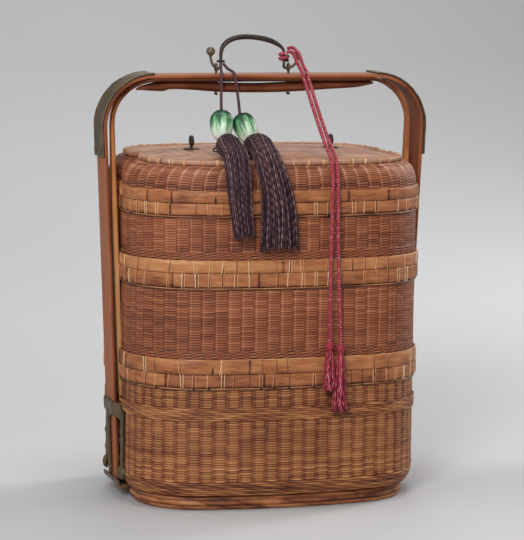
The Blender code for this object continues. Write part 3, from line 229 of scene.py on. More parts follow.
# Materials, and the slot of each
SLOTS = {}


def material(name):
    made = bpy.data.materials.new(name)
    made.use_nodes = True
    return made, made.node_tree, made.node_tree.nodes["Principled BSDF"]


def noise(tree, scale, detail=3.0):
    coord = tree.nodes.new("ShaderNodeTexCoord")
    mapping = tree.nodes.new("ShaderNodeMapping")
    mapping.inputs["Scale"].default_value = scale
    texture = tree.nodes.new("ShaderNodeTexNoise")
    for socket, value in (("Scale", 1.0), ("Detail", detail), ("Roughness", 0.55)):
        texture.inputs[socket].default_value = value
    tree.links.new(coord.outputs["Object"], mapping.inputs["Vector"])
    tree.links.new(mapping.outputs["Vector"], texture.inputs["Vector"])
    return texture.outputs["Fac"]


def maths(tree, operation, a, b):
    node = tree.nodes.new("ShaderNodeMath")
    node.operation = operation
    for socket, value in zip(node.inputs, (a, b)):
        if isinstance(value, (int, float)):
            socket.default_value = value
        else:
            tree.links.new(value, socket)
    return node.outputs[0]


def srgb(*colour):
    """A colour written in 0-255 steps, as linear light."""
    values = [c / 255 for c in colour]
    return tuple(c / 12.92 if c <= 0.04045 else ((c + 0.055) / 1.055) ** 2.4 for c in values) + (1.0,)


def ramp(tree, shader, value, stops):
    """The base colour follows a value through stops of a place, red, green and blue."""
    node = tree.nodes.new("ShaderNodeValToRGB")
    tree.links.new(value, node.inputs["Fac"])
    elements = node.color_ramp.elements
    while len(elements) < len(stops):
        elements.new(0.5)
    for element, (place, *colour) in zip(elements, stops):
        element.position = place
        element.color = srgb(*colour)
    tree.links.new(node.outputs["Color"], shader.inputs["Base Color"])


def toned(name, slot, stops, noises, rough, bump, own_tone=True, **settings):
    """A material whose colour follows each piece's own tone and layers of noise through a ramp."""
    made, tree, shader = material(name)
    SLOTS[made.name] = slot
    value = 0.5
    if own_tone:
        attribute = tree.nodes.new("ShaderNodeAttribute")
        attribute.attribute_name = "tone"
        value = attribute.outputs["Fac"]
    for scale, amount in noises:
        part = maths(tree, "MULTIPLY", maths(tree, "SUBTRACT", noise(tree, scale), 0.5), amount)
        value = maths(tree, "ADD", part, value)
    ramp(tree, shader, value, stops)
    spread = tree.nodes.new("ShaderNodeMapRange")
    tree.links.new(noise(tree, noises[0][0]), spread.inputs["Value"])
    for socket, limit in zip(("From Min", "From Max", "To Min", "To Max"), (0.3, 0.7) + rough):
        spread.inputs[socket].default_value = limit
    tree.links.new(spread.outputs["Result"], shader.inputs["Roughness"])
    scale, strength, distance = bump
    relief = tree.nodes.new("ShaderNodeBump")
    relief.inputs["Strength"].default_value = strength
    relief.inputs["Distance"].default_value = distance
    tree.links.new(noise(tree, scale, 4.0), relief.inputs["Height"])
    tree.links.new(relief.outputs["Normal"], shader.inputs["Normal"])
    for socket, setting in settings.items():
        shader.inputs[socket.replace("_", " ")].default_value = setting
    return made


def woven(name, stops, fine, broad):
    """A material of woven cane, fine and broad being its layers of noise."""
    return toned(name, "cane_weave", stops, [((900, 900, 1400), fine), broad], (0.5, 0.7),
                 ((1500, 1500, 3000), 0.25, 0.0002), Specular_IOR_Level=0.3)


WEAVE = woven(
    "cane_weave_upper",
    [(0.0, 26, 10, 8), (0.22, 84, 40, 26), (0.5, 144, 80, 50), (0.78, 182, 118, 80), (1.0, 224, 184, 148)],
    0.30, ((45, 45, 60), 0.15))
WEAVE_LOW = woven(
    "cane_weave_lower",
    [(0.0, 30, 12, 8), (0.22, 96, 48, 30), (0.5, 156, 96, 56), (0.78, 192, 138, 84), (1.0, 228, 190, 142)],
    0.20, ((45, 45, 60), 0.22))
WEAVE_TOP = woven(
    "cane_weave_lid_top",
    [(0.0, 40, 22, 18), (0.22, 106, 68, 52), (0.5, 164, 118, 94), (0.78, 196, 156, 130), (1.0, 222, 202, 184)],
    0.22, ((30, 30, 60), 0.34))
WEAVE_LID = woven(
    "cane_weave_lid",
    [(0.0, 26, 10, 8), (0.22, 86, 42, 28), (0.5, 148, 86, 56), (0.78, 186, 130, 98), (1.0, 206, 196, 184)],
    0.30, ((45, 45, 60), 0.15))
BAND_BUMP, WOOD_BUMP = ((120, 120, 2400), 0.2, 0.0002), ((25, 1400, 25), 0.25, 0.0003)
ROUND = (60, 60, 700)
BAMBOO = toned(
    "bamboo_band", "bamboo_band",
    [(0.0, 28, 12, 8), (0.25, 108, 56, 32), (0.5, 160, 98, 58), (0.75, 188, 128, 80), (1.0, 226, 190, 144)],
    [(ROUND, 0.55), ((40, 40, 120), 0.75)], (0.42, 0.6), BAND_BUMP, Specular_IOR_Level=0.35)
BAMBOO_PLAIN = toned(
    "bamboo_plain", "bamboo_band",
    [(0.0, 30, 16, 10), (0.25, 112, 62, 36), (0.5, 160, 100, 60), (0.75, 192, 134, 86), (1.0, 228, 194, 150)],
    [(ROUND, 0.30), ((50, 50, 90), 0.30)], (0.35, 0.55), BAND_BUMP, own_tone=False)
LASH = toned(
    "lashing_cane", "bamboo_band",
    [(0.0, 32, 15, 10), (0.3, 124, 65, 39), (0.6, 202, 138, 86), (1.0, 240, 208, 166)],
    [((500, 500, 500), 0.25), ((80, 80, 80), 0.2)], (0.35, 0.5), ((900, 900, 900), 0.2, 0.0002))
# its pale greyish upper stops carry the painted sheen on the handle's crown
HANDLE_WOOD = toned(
    "handle_bamboo", "handle_bamboo",
    [(0.0, 26, 10, 7), (0.25, 88, 40, 24), (0.5, 160, 93, 58), (0.75, 150, 114, 96), (1.0, 190, 162, 142)],
    [((14, 420, 14), 0.30), ((30, 90, 12), 0.30)], (0.5, 0.65), WOOD_BUMP, Specular_IOR_Level=0.2)
# its light stops are painted light, brightening the slat in the outer strip's shadow
SLAT_WOOD = toned(
    "slat_bamboo", "slat_bamboo",
    [(0.0, 36, 16, 9), (0.25, 118, 62, 36), (0.5, 212, 142, 84), (0.8, 244, 184, 124), (1.0, 248, 208, 156)],
    [((14, 600, 14), 0.25), ((30, 90, 30), 0.22)], (0.6, 0.75), WOOD_BUMP, Specular_IOR_Level=0.15)
SLAT_PLAIN = toned(
    "slat_bamboo_plain", "slat_bamboo", [(0.0, 40, 22, 12), (0.5, 168, 112, 68), (1.0, 230, 190, 140)],
    [((14, 600, 14), 0.35), ((30, 90, 30), 0.25)], (0.3, 0.5), WOOD_BUMP, own_tone=False)
METAL, METAL_PLAIN = (toned(
    name, "patinated_metal",
    [(0.0, 28, 21, 14), (0.3, 54, 43, 29), (0.5, 86, 70, 48), (0.75, 116, 97, 69), (1.0, 152, 130, 98)],
    [((260, 260, 120), 0.7), ((60, 60, 40), 0.5), ((1500, 1500, 1500), 0.25)], (0.4, 0.62),
    ((700, 700, 700), 0.45, 0.0004), own_tone=own, Metallic=0.15,
) for name, own in (("patinated_metal", True), ("patinated_metal_plain", False)))
BAIL_METAL = toned(
    "bail_metal", "bail_metal",
    [(0.0, 18, 15, 16), (0.4, 46, 38, 38), (0.7, 80, 70, 60), (1.0, 130, 116, 92)],
    [((300, 300, 300), 0.4), ((80, 80, 80), 0.3)], (0.35, 0.55), ((900, 900, 900), 0.25, 0.0003), Metallic=0.6)
PURPLE = toned(
    "purple_thread", "purple_cord",
    [(0.0, 10, 5, 7), (0.35, 54, 32, 38), (0.65, 98, 68, 74), (1.0, 166, 134, 136)],
    [((1400, 1400, 260), 0.30), ((120, 120, 60), 0.2)], (0.55, 0.7), ((3000, 3000, 600), 0.2, 0.0001),
    Specular_IOR_Level=0.25)
RED = toned(
    "red_thread", "red_cord",
    [(0.0, 44, 4, 14), (0.35, 108, 22, 38), (0.65, 166, 52, 68), (0.85, 196, 92, 102), (1.0, 232, 170, 166)],
    [((1400, 1400, 900), 0.30), ((200, 200, 120), 0.2)], (0.55, 0.7), ((3000, 3000, 2000), 0.2, 0.0001),
    Specular_IOR_Level=0.25)
GLAZE = toned(
    "glazed_bead", "glazed_bead",
    [(0.0, 6, 46, 26), (0.26, 24, 88, 50), (0.46, 92, 150, 104), (0.62, 164, 200, 160), (0.8, 214, 226, 206),
     (1.0, 230, 232, 222)],
    [((190, 190, 70), 0.5), ((600, 600, 240), 0.2)], (0.32, 0.42), ((240, 240, 120), 0.12, 0.0004),
    Coat_Weight=0.2, Coat_Roughness=0.22)

# Greys of the sheet at distances behind the basket's middle; they paint the light falling on it, and the dip near 0.06
# is a painted shadow across the floor
SHEET_PAINTED_GREYS = [(-0.6, 210), (-0.15, 199), (0.06, 188), (0.15, 202), (0.65, 202), (1.3, 208),
               (2.75, 205), (3.9, 203), (4.6, 193)]
# Name, place, target, size and power of each lamp
LAMPS = [
    ("key", (-1.45, -2.6, 1.7), (0, 0, 0.2), 1.1, 64), ("fill", (1.6, -1.9, 1.5), (0, 0, 0.2), 0.4, 2),
    ("left", (-2.6, 0.3, 0.9), (0, 0, 0.2), 0.8, 8), ("side", (2.3, 0.85, 1.25), (0, 0, 0.1), 0.8, 30),
    ("top", (0.0, -0.4, 2.7), (0, 0, 0.3), 1.4, 24), ("far", (1.0, 3.4, 2.9), (1.0, 3.6, 0), 2.0, 56),
]


def camera():
    data = bpy.data.cameras.new("camera")
    data.lens, data.sensor_width, data.sensor_fit, data.clip_end = 184.36, 36.0, "AUTO", 50
    obj = bpy.data.objects.new("camera", data)
    right = Vector((0.95846, -0.28496, 0.01218))
    up = Vector((0.02449, 0.12476, 0.99189))
    ahead = Vector((0.28417, 0.95038, -0.12655))
    axes = Matrix((right, up, -ahead)).transposed()
    obj.matrix_world = Matrix.Translation((-0.78822, -2.64322, 0.57362)) @ axes.to_4x4()
    bpy.context.scene.collection.objects.link(obj)
    bpy.context.scene.camera = obj


def area(name, place, target, size, power):
    data = bpy.data.lights.new(name, "AREA")
    data.shape, data.size, data.energy = "DISK", size, power
    obj = bpy.data.objects.new(name, data)
    obj.location = place
    direction = Vector(target) - Vector(place)
    obj.rotation_euler = direction.to_track_quat("-Z", "Y").to_euler()
    bpy.context.scene.collection.objects.link(obj)


def floor():
    """One pale sheet: the floor, swept up into a backdrop far behind."""
    made, tree, shader = material("studio_sheet")
    coord = tree.nodes.new("ShaderNodeTexCoord")
    place = tree.nodes.new("ShaderNodeSeparateXYZ")
    tree.links.new(coord.outputs["Object"], place.inputs["Vector"])
    slope, start = 0.12, 0.3
    value = maths(tree, "ADD", maths(tree, "MULTIPLY", place.outputs["Y"], slope), start)
    value = maths(tree, "ADD", value, maths(tree, "MULTIPLY", noise(tree, (1.2, 1.2, 1.2)), 0.02))
    # painted light and shade: the sheet's grey follows the painted greys, with their painted shadow band
    ramp(tree, shader, value, [(start + slope * along, grey, grey, grey) for along, grey in SHEET_PAINTED_GREYS])
    shader.inputs["Roughness"].default_value = 0.9
    shader.inputs["Specular IOR Level"].default_value = 0.1
    half, back, bend = 9.0, 6.0, 2.5
    turn = math.pi / 2 * np.arange(1, 13) / 12
    curve = zip(back - bend + bend * np.sin(turn), bend - bend * np.cos(turn))
    profile = [(-half, 0.0), (-3.0, 0.0), (-1.0, 0.0), (0.6, 0.0), (back - bend, 0.0), *curve, (back, half)]
    sheet = np.array([[(-half, y, z), (half, y, z)] for y, z in profile])
    gridded("studio_sheet", made, None, (), sheet, 0.5, wrap_columns=False)


def tenths(rows):
    """Rows of whole tenths of a millimetre, in metres."""
    return [tuple(value / 1e4 for value in row) for row in rows]


# Routes of the cords
PURPLE_LEFT_ROUTE = tenths([
    (-444, -36, 4293), (-455, -90, 4250), (-468, -146, 4230), (-478, -196, 4210), (-488, -232, 4156),
    (-502, -278, 4080), (-526, -362, 3960), (-546, -446, 3850),
])
PURPLE_RIGHT_ROUTE = tenths([
    (-414, -35, 4292), (-388, -90, 4248), (-364, -146, 4228), (-352, -196, 4208), (-346, -232, 4152),
    (-344, -278, 4070), (-350, -366, 3940), (-357, -446, 3816),
])
RED_LEFT_ROUTE = tenths([
    (236, -42, 4400), (264, -52, 4410), (294, -79, 4392), (322, -114, 4318), (342, -158, 4250),
    (350, -210, 4212), (354, -246, 4156), (358, -350, 4062), (364, -620, 3812), (368, -900, 3580),
    (369, -1060, 3475), (368, -1152, 3392), (362, -1205, 3240), (354, -1228, 3020), (348, -1236, 2700),
    (346, -1238, 2300), (345, -1238, 1980), (345, -1238, 1664),
])
RED_RIGHT_ROUTE = tenths([
    (256, -10, 4438), (296, -44, 4450), (340, -86, 4402), (370, -118, 4322), (388, -160, 4254),
    (396, -212, 4214), (400, -248, 4158), (403, -352, 4064), (410, -622, 3814), (415, -902, 3582),
    (417, -1062, 3477), (417, -1154, 3394), (414, -1207, 3240), (410, -1230, 3020), (414, -1238, 2700),
    (426, -1240, 2300), (440, -1240, 1980), (456, -1240, 1632),
])
EDGE_POINT, RIM_POINT = 6, 10
# Radius, material and style of each kind of cord; a style is its pitch, depth, flecks and contrast, the contrast
# painting light on the strands and shade in the plait's hollows
RED_STYLE = (0.0054, 0.26, 0.30, 1.1)
RED_CORD, HITCH_CORD = (0.0019, RED, RED_STYLE), (0.0018, RED, RED_STYLE)
PURPLE_CORD = (0.0015, PURPLE, (0.0040, 0.10, 0.0, 0.45))
LIFTS = {"middle_lift": 0.007, "top_lift": 0.007, "lid_lift": 0.016}
BAIL_CENTRE, BAIL_WIDTH = (-0.0105, 0.0, 0.4252), 0.0654


def smoothed(line, steps):
    """A Catmull-Rom curve through the rows of a line, with steps from each to the next."""
    knots = np.array(line, float)
    ends = np.vstack([2 * knots[0] - knots[1], knots, 2 * knots[-1] - knots[-2]])
    t = (np.arange(steps) / steps)[:, None]
    fine = [
        0.5 * (2 * b + (c - a) * t + (2 * a - 5 * b + 4 * c - d) * t ** 2 + (3 * b - a - 3 * c + d) * t ** 3)
        for a, b, c, d in zip(ends, ends[1:], ends[2:], ends[3:])
    ]
    return np.vstack(fine + [knots[-1:]])


def even_steps(line, step=None, count=None):
    along = travel(line)
    count = count or max(2, round(along[-1] / step))
    wanted = np.linspace(0, along[-1], count + 1)
    return np.stack([np.interp(wanted, along, line[:, axis]) for axis in range(line.shape[1])], -1)


def smooth_route(route, step):
    return even_steps(smoothed(route, 20), step)


def frames(path):
    """Two unit directions across the path at each point, carried along without twist."""
    tangent = unit(np.gradient(path, axis=0))
    side = unit(np.cross(tangent[0], (0.3, 0.2, 1.0) if abs(tangent[0][2]) < 0.9 else (1.0, 0, 0)))
    sides = []
    for t in tangent:
        side = unit(side - t * np.dot(side, t))
        sides.append(side)
    sides = np.array(sides)
    return sides, np.cross(tangent, sides)


def length_of(path):
    return float(travel(path)[-1])


def cut(path, level):
    """Index of the point of the path nearest to a level."""
    return int(np.argmin(np.abs(path[:, 2] - level)))


def plait(angle, turn, strands):
    """Height of a plait's surface, 0 to 1."""
    return np.maximum(np.abs(np.cos(strands * angle - turn)), np.abs(np.cos(strands * angle + turn)))


def cord_piece(name, node, path, kind, start, body):
    """A length of plaited cord that begins at start along the whole cord."""
    radius, mat, (pitch, depth, flecks, contrast) = kind
    side, lift = frames(path)
    angle, turn = circle(14), 2 * math.pi * (start + travel(path))[:, None] / pitch
    height = plait(angle, turn, 1.5) ** 2
    reach = radius * (1 - depth + depth * height)
    chance = np.random.default_rng(1).random(height.shape)
    # lighter on the strands and darker in the hollows of the plait: painted light and shade that follow its relief
    tone = contrast * (height - 0.62) + 0.44 + flecks * (chance > 0.86)
    obj = gridded(name, mat, None, (node,), rings_along(path, side, lift, reach, -reach, angle), tone, caps=True)
    if isinstance(body, str):
        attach(obj, body)
    elif body[0] == "blend":
        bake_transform(obj)
    else:
        rides, joint, level, keep = body
        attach(obj, rides)
        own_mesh(obj)


def red_strand(name, route):
    """One strand: over the handle, down over each lift in turn, then hanging."""
    node = "red_cord_" + name
    path = smooth_route(route, 0.0009)
    edge, rim = cut(path, route[EDGE_POINT][2]), cut(path, route[RIM_POINT][2])
    fall = path[edge][2] - path[rim][2]
    marks = [edge, *(cut(path, path[edge][2] - share * fall) for share in (0.305, 0.61)), rim]
    top = path[:edge + 1]
    across = (tuple(path[edge]), tuple(path[0]))
    cord_piece(f"red_{name}_top", node, top, RED_CORD, 0.0, ("blend", across))
    start = length_of(top)
    for index, (rides, (joint, lift)) in enumerate(zip(("base", "middle", "top"), LIFTS.items())):
        span = path[marks[index]:marks[index + 1] + 1]
        keep = 1 - lift / (span[0][2] - span[-1][2])
        cord_piece(f"red_{name}_span_{index + 1}", node, span, RED_CORD, start,
                   (rides, joint, float(span[0][2]), keep))
        start += length_of(span)
    cord_piece(f"red_{name}_hang", node, path[rim:], RED_CORD, start, "lid")


def hitch():
    """The doubled cord's turns round the bail's right leg, with its bight at the top."""
    radius, turns, pitch, start = 0.0039, 1.75, 0.0042, 0.4320
    share = np.linspace(0, 1, 120)
    angle = 2 * math.pi * turns * (share - 1) - math.pi / 2
    x = BAIL_CENTRE[0] + BAIL_WIDTH / 2 + radius * np.cos(angle)
    path = np.stack([x, radius * np.sin(angle), start + turns * pitch * share], -1)
    cord_piece("red_hitch_turns", "red_hitch", path, HITCH_CORD, 0.0, "bail")


def purple_ring():
    radius, thread, level = 0.0031, 0.0012, 0.4315
    angle = circle(48)
    out = np.stack([np.cos(angle), np.sin(angle), 0 * angle], -1)
    centre = np.array([BAIL_CENTRE[0] - BAIL_WIDTH / 2, 0, level]) + radius * out
    rings = rings_along(centre, out, (0, 0, 1), thread, thread, circle(10))
    gridded("purple_ring", PURPLE, "bail", ("purple_loop",), rings[:, ::-1], 0.4, wrap_rows=True)


# Place, half width and half thickness of each tassel at stations down it
LEFT_TASSEL_SECTIONS = tenths([
    (-562, -680, 3551, 30, 30), (-562, -696, 3550, 80, 78), (-565, -750, 3546, 116, 111),
    (-570, -840, 3529, 122, 106), (-578, -955, 3507, 124, 87), (-588, -1078, 3494, 124, 60),
    (-594, -1176, 3434, 123, 60), (-594, -1226, 3336, 121, 58), (-589, -1248, 3200, 118, 58),
    (-568, -1248, 2980, 110, 58), (-530, -1248, 2700, 96, 56),
])
RIGHT_TASSEL_SECTIONS = tenths([
    (-264, -680, 3552, 30, 30), (-265, -696, 3551, 90, 78), (-268, -750, 3547, 134, 110),
    (-274, -840, 3535, 138, 106), (-282, -955, 3511, 138, 87), (-289, -1078, 3495, 136, 60),
    (-289, -1176, 3434, 136, 60), (-265, -1226, 3336, 138, 58), (-226, -1248, 3180, 148, 58),
    (-192, -1248, 2960, 170, 58), (-177, -1248, 2580, 188, 56),
])
TASSEL_LOOP = tenths([
    (-590, -655, 3540), (-640, -640, 3520), (-678, -628, 3484), (-632, -655, 3470), (-580, -690, 3476)])
LEFT_BEAD_END, RIGHT_BEAD_END = (-0.0580, -0.0592, 0.3566), (-0.0280, -0.0588, 0.3558)
BEAD_RADIUS, BEAD_LENGTH, BEAD_RIBS = 0.0115, 0.030, 7
BEAD_PROFILE = [
    (0.0, 0.40), (0.012, 0.50), (0.035, 0.61), (0.075, 0.73), (0.13, 0.84), (0.20, 0.93), (0.29, 0.98),
    (0.38, 1.0), (0.48, 0.99), (0.58, 0.965), (0.68, 0.92), (0.77, 0.855), (0.85, 0.77), (0.92, 0.66),
    (0.97, 0.53), (1.0, 0.40),
]
RED_LEFT_END, RED_RIGHT_END = 0.1176, 0.0964


def bead(name, end, tassel_top):
    """A glazed barrel bead with soft ribs, green at the cord and white at the tassel."""
    start = np.array(end)
    axis = unit(np.array(tassel_top) - start)
    side = unit(np.cross(axis, (1.0, 0, 0)))
    share = np.linspace(0.0, 1.0, 41)[:, None]
    bulge = np.interp(share, *np.array(BEAD_PROFILE).T)
    angle = circle(64)
    ribs = np.cos(BEAD_RIBS * angle + 2.2 * share)
    middle = np.sin(math.pi * share)
    reach = BEAD_RADIUS * bulge * (1 + 0.035 * ribs * middle) / 1.02
    path = start + axis * (SEAT + BEAD_LENGTH * share)
    streaks = ribs + 0.5 * np.cos(17 * angle - 1.4 * share)
    tone = -0.04 + 0.98 * share ** 0.9 + 0.15 * streaks * middle
    rings = rings_along(path, side, np.cross(axis, side), reach, reach, angle)
    return gridded("glazed_" + name, GLAZE, "lid", (name,), rings[:, ::-1], np.clip(tone, 0, 1), caps=True)


def flat_tassel(name, node, sections, seed):
    """A skirt of threads over a near-black core, painted shade seen between the threads."""
    rng = np.random.default_rng(seed)
    stations = smoothed(sections, 12)
    stations[:, 3:] = np.maximum(stations[:, 3:], 0.001)
    line = even_steps(stations, count=60)
    middle, width, thick = line[:, :3], line[:, 3], line[:, 4]
    along = unit(np.gradient(middle, axis=0))
    across = unit(np.array([1.0, 0, 0]) - along * along[:, :1])
    out = np.cross(across, along)
    core = rings_along(middle, across, out, 0.93 * width, 0.90 * thick, circle(24))
    soup = Soup()
    # near-black core: painted shade in the gaps between the threads
    soup.grid(core[1:-1], 0.02, caps=True)
    threads = 230
    rows = np.arange(len(middle))
    for index in range(threads):
        theta = 2 * math.pi * (index + rng.uniform(-0.4, 0.4)) / threads
        drift = rng.normal(0, 0.10) * (rows / rows[-1]) ** 1.5
        wave = 0.05 * np.sin(rows * rng.uniform(0.12, 0.30) + rng.uniform(0, 6.3)) * rows / rows[-1]
        reach = 0.965 + rng.uniform(-0.06, 0.05) * np.minimum(1, rows / 8)
        a = theta + drift + wave
        path = middle + across * (width * np.cos(a) * reach)[:, None] + out * (thick * np.sin(a) * reach)[:, None]
        last = len(middle) - int(rng.integers(0, 4))
        path = path[:last]
        path[-1] += along[last - 1] * rng.uniform(-0.002, 0.003)
        radius = rng.uniform(0.00030, 0.00052)
        # about one thread in four made paler: painted highlight on single threads
        shade = rng.uniform(-0.04, 0.62) + (0.24 if rng.random() > 0.74 else 0.0)
        shade = shade + 0.24 * np.sin(rows[:last] * 1.9 + rng.uniform(0, 6.3))
        up = out[:last] * math.sin(theta) + across[:last] * math.cos(theta)
        soup.tube(path, up, radius, sides=5, tone=shade)
    if name.endswith("left"):
        soup.tube(smooth_route(TASSEL_LOOP, 0.0006), (0.3, -0.9, 0.2), 0.0008, tone=0.02)
    soup.build(name, PURPLE, "lid", (node,))


def hanging_tassel(name, node, top, bottom, flare, seed):
    """A plaited knot over a skirt of threads that flares to one side, hanging straight down."""
    rng = np.random.default_rng(seed)
    knot, radius = 0.004, 0.0056
    soup = Soup()
    x, y, z = top
    centre = np.array([x, y, 0.0])
    profile_z = z - np.array([0, 0.0002, 0.6, 1.4, 2.0, 2.5, 2.9]) * knot
    profile_r = np.array([0.5, 0.75, 1.0, 1.0, 0.62, 0.62, 0.85]) * knot
    levels = np.linspace(profile_z[0], profile_z[-1], 25)
    reach = np.interp(-levels, -profile_z, profile_r)
    angle = circle(24)
    turn = 2 * math.pi * (levels[0] - levels)[:, None] / 0.006
    bumps = plait(angle, turn, 2.5)
    reach = reach[:, None] * (0.88 + 0.12 * bumps)
    right, back, up = np.eye(3) * (1, -1, 1)
    # the knot's tone follows its bumps: painted light on them, painted shade between them
    soup.grid(rings_along(centre + up * levels[:, None], right, back, reach, reach, angle),
              0.2 + 0.45 * bumps, caps=True)
    skirt_top = z - 2.2 * knot
    down = np.linspace(0, 1, 16)
    widen = np.interp(down, [0, 0.12, 0.5, 1], [0.42, 0.72, 0.86, 1.0]) * radius
    core_levels = skirt_top + (bottom + 0.003 - skirt_top) * down
    flare = 1 + flare * down ** 1.2
    # near-black core under the threads: painted shade in the gaps between them
    soup.grid(rings_along(centre + up * core_levels[:, None], right, back, 0.8 * (flare * widen), 0.8 * widen, angle),
              0.02, caps=True)
    threads = 110
    for index in range(threads):
        theta = 2 * math.pi * (index + rng.uniform(-0.4, 0.4)) / threads
        a = theta + rng.normal(0, 0.25) * down ** 1.5
        a = a + 0.16 * np.sin(down * rng.uniform(8, 16) + rng.uniform(0, 6.3)) * down
        factor = 0.93 + rng.uniform(-0.10, 0.06)
        end = bottom + rng.uniform(0.0, 0.005)
        path = centre + np.stack([
            flare * factor * widen * np.cos(a), factor * widen * np.sin(a), skirt_top + (end - skirt_top) * down,
        ], -1)
        shade = rng.uniform(0.15, 0.95) + 0.24 * np.sin(np.arange(16) * 2.2 + rng.uniform(0, 6.3))
        facing = np.stack([np.cos(a), np.sin(a), 0 * a], -1)
        soup.tube(path, facing, rng.uniform(0.00028, 0.00044), sides=5, tone=shade)
    soup.build(name, RED, "lid", (node,))


def soft_goods():
    flat_tassel("tassel_threads_left", "purple_tassel_left", LEFT_TASSEL_SECTIONS, 11)
    flat_tassel("tassel_threads_right", "purple_tassel_right", RIGHT_TASSEL_SECTIONS, 12)
    step, top_length, into_bead = 0.0007, 0.0306, 0.004
    for name, route, end in (("left", PURPLE_LEFT_ROUTE, LEFT_BEAD_END), ("right", PURPLE_RIGHT_ROUTE, RIGHT_BEAD_END)):
        glazed = bead("bead_" + name, route[-1], end)
        node = "purple_cord_" + name
        inside = np.array(route[-1]) + unit(np.array(end) - np.array(route[-1])) * into_bead
        path = smooth_route(route + [tuple(inside)], step)
        edge = int(np.ceil(top_length / step))
        top, span = path[:edge + 1], path[edge:]
        cord_piece(f"purple_{name}_top", node, top, PURPLE_CORD, 0.0,
                   ("blend", (tuple(path[edge]), tuple(path[0]))))
        keep = 1 - LIFTS["lid_lift"] / (span[0][2] - route[-1][2])
        cord_piece(f"purple_{name}_span", node, span, PURPLE_CORD, length_of(top),
                   ("base", "lid_lift", float(span[0][2]), keep))
    for name, route, end, flare, seed in (
            ("left", RED_LEFT_ROUTE, RED_LEFT_END, 0.16, 21), ("right", RED_RIGHT_ROUTE, RED_RIGHT_END, 0.42, 22)):
        hanging_tassel("red_threads_" + name, "red_tassel_" + name, route[-1], end, flare, seed)
        red_strand(name, route)
    hitch()
    purple_ring()


# Woven walls
ROW_PITCH, STAKE_RELIEF, FINE_RIBS = 0.0025, 0.0009, 0.0002
COLLAR = (0.0004, 0.0086)


def patchy(rng, rows, columns, cell_rows, cell_columns):
    """Smooth random values from -0.5 to 0.5 that close round the basket."""
    small = rng.random((max(2, rows // cell_rows) + 1, max(2, columns // cell_columns)))
    small = np.concatenate([small, small[:, :1]], 1)
    r = np.linspace(0, small.shape[0] - 1, rows)
    c = np.linspace(0, small.shape[1] - 1, columns, endpoint=False)
    r0, c0 = np.floor(r).astype(int).clip(0, small.shape[0] - 2), np.floor(c).astype(int)
    fr, fc = (r - r0)[:, None], (c - c0)[None]
    fr, fc = fr * fr * (3 - 2 * fr), fc * fc * (3 - 2 * fc)
    top, bottom = (small[row][:, c0] * (1 - fc) + small[row][:, c0 + 1] * fc for row in (r0, r0 + 1))
    return top * (1 - fr) + bottom * fr - 0.5


def weave(levels, seed, lower=False, ribs=0.0, collar=None):
    """Relief and tone of a woven wall at levels by columns, its stakes standing out by ribs."""
    rng = np.random.default_rng(seed)
    z = levels[:, None]
    bulge = np.sin(math.pi * ACROSS)
    phase = z / ROW_PITCH + (STAKE % 2) / 2
    front = np.cos(2 * math.pi * phase)
    cross = np.cos(4 * math.pi * z / ROW_PITCH)
    relief = 0.00034 * bulge * front + 0.0002 * (1 - bulge) * cross - ribs * np.abs(2 * ACROSS - 1) ** 1.3
    row = np.floor(phase + 0.5).astype(int)
    row = row - row.min()
    strand = rng.random((row.max() + 1, STAKES))[row, STAKE[None]] - 0.5
    column = rng.normal(0, 0.018, STAKES)[STAKE]
    long_row = rng.normal(0, 0.05, row.max() + 1)[row]
    # lighter on the crown of each row and darker in its dips: painted light and shade that follow the relief
    tone = (0.47 if lower else 0.43) + 0.25 * front * (0.35 + 0.65 * bulge) + 0.15 * strand + column + long_row
    tone = tone + 0.08 * patchy(rng, len(levels), AROUND, 40, 40)
    # darker dots along the seams of the stakes, and in the lower tier darker towards each stake's edges: painted shade
    # in the gaps
    dots = 0.2 + 0.8 * (np.cos(4 * math.pi * z / ROW_PITCH + math.pi / 2) > 0.3)
    if lower:
        wide = np.clip((0.36 - np.abs(ACROSS - 0.5)) / 0.06, 0, 1)
        seam = np.abs(np.abs(ACROSS - 0.5) - 0.38) < 0.055
        tone = tone + 0.03 * wide - 0.07 * (1 - wide) - 0.17 * seam * dots
    else:
        seam = ACROSS < 0.06
        tone = tone - 0.19 * seam * dots + 0.17 * (np.abs(ACROSS - 0.125) < 0.06)
    relief = relief - 0.0002 * seam
    if collar:
        twine_relief, twine_tone = collar_rows(levels, *collar, 3, rng)
        inside = ((levels >= collar[0]) & (levels <= collar[1]))[:, None]
        relief = np.where(inside, twine_relief - ribs * 0.6, relief)
        tone = np.where(inside, twine_tone, tone)
    return relief, tone


def collar_rows(levels, bottom, top, rows, rng):
    """Relief and tone of the tight rows over a band: a dark and a pale lens at each seam."""
    in_row = (np.clip(levels, bottom, top)[:, None] - bottom) * rows / (top - bottom)
    row = np.floor(np.clip(in_row, 0, rows - 1e-6))
    part = in_row - row - 0.5
    turn = STAKES * (np.arange(AROUND) / AROUND) + 0.08 * row + 0.06 * part
    seam = np.floor(turn + 0.5)
    near = np.clip(1.25 - np.abs(turn - seam) / 0.30, 0, 1)
    depth = rng.uniform(0.3, 1.0, (rows, STAKES))[row.astype(int), seam.astype(int) % STAKES]
    wave = np.cos(2 * math.pi * part)
    relief = 0.0002 + 0.0006 * np.clip(1 - (2 * part) ** 2, 0, 1) ** 0.5 - 0.0002 * near
    lens = 0.75 * np.clip(wave, 0, 1) - 0.62 * np.clip(-wave, 0, 1)
    # lighter in the middle of each row, where it swells, away from the seams: painted light that follows the relief
    return relief, 0.40 + 0.14 * wave * (1 - near) - near * depth * lens


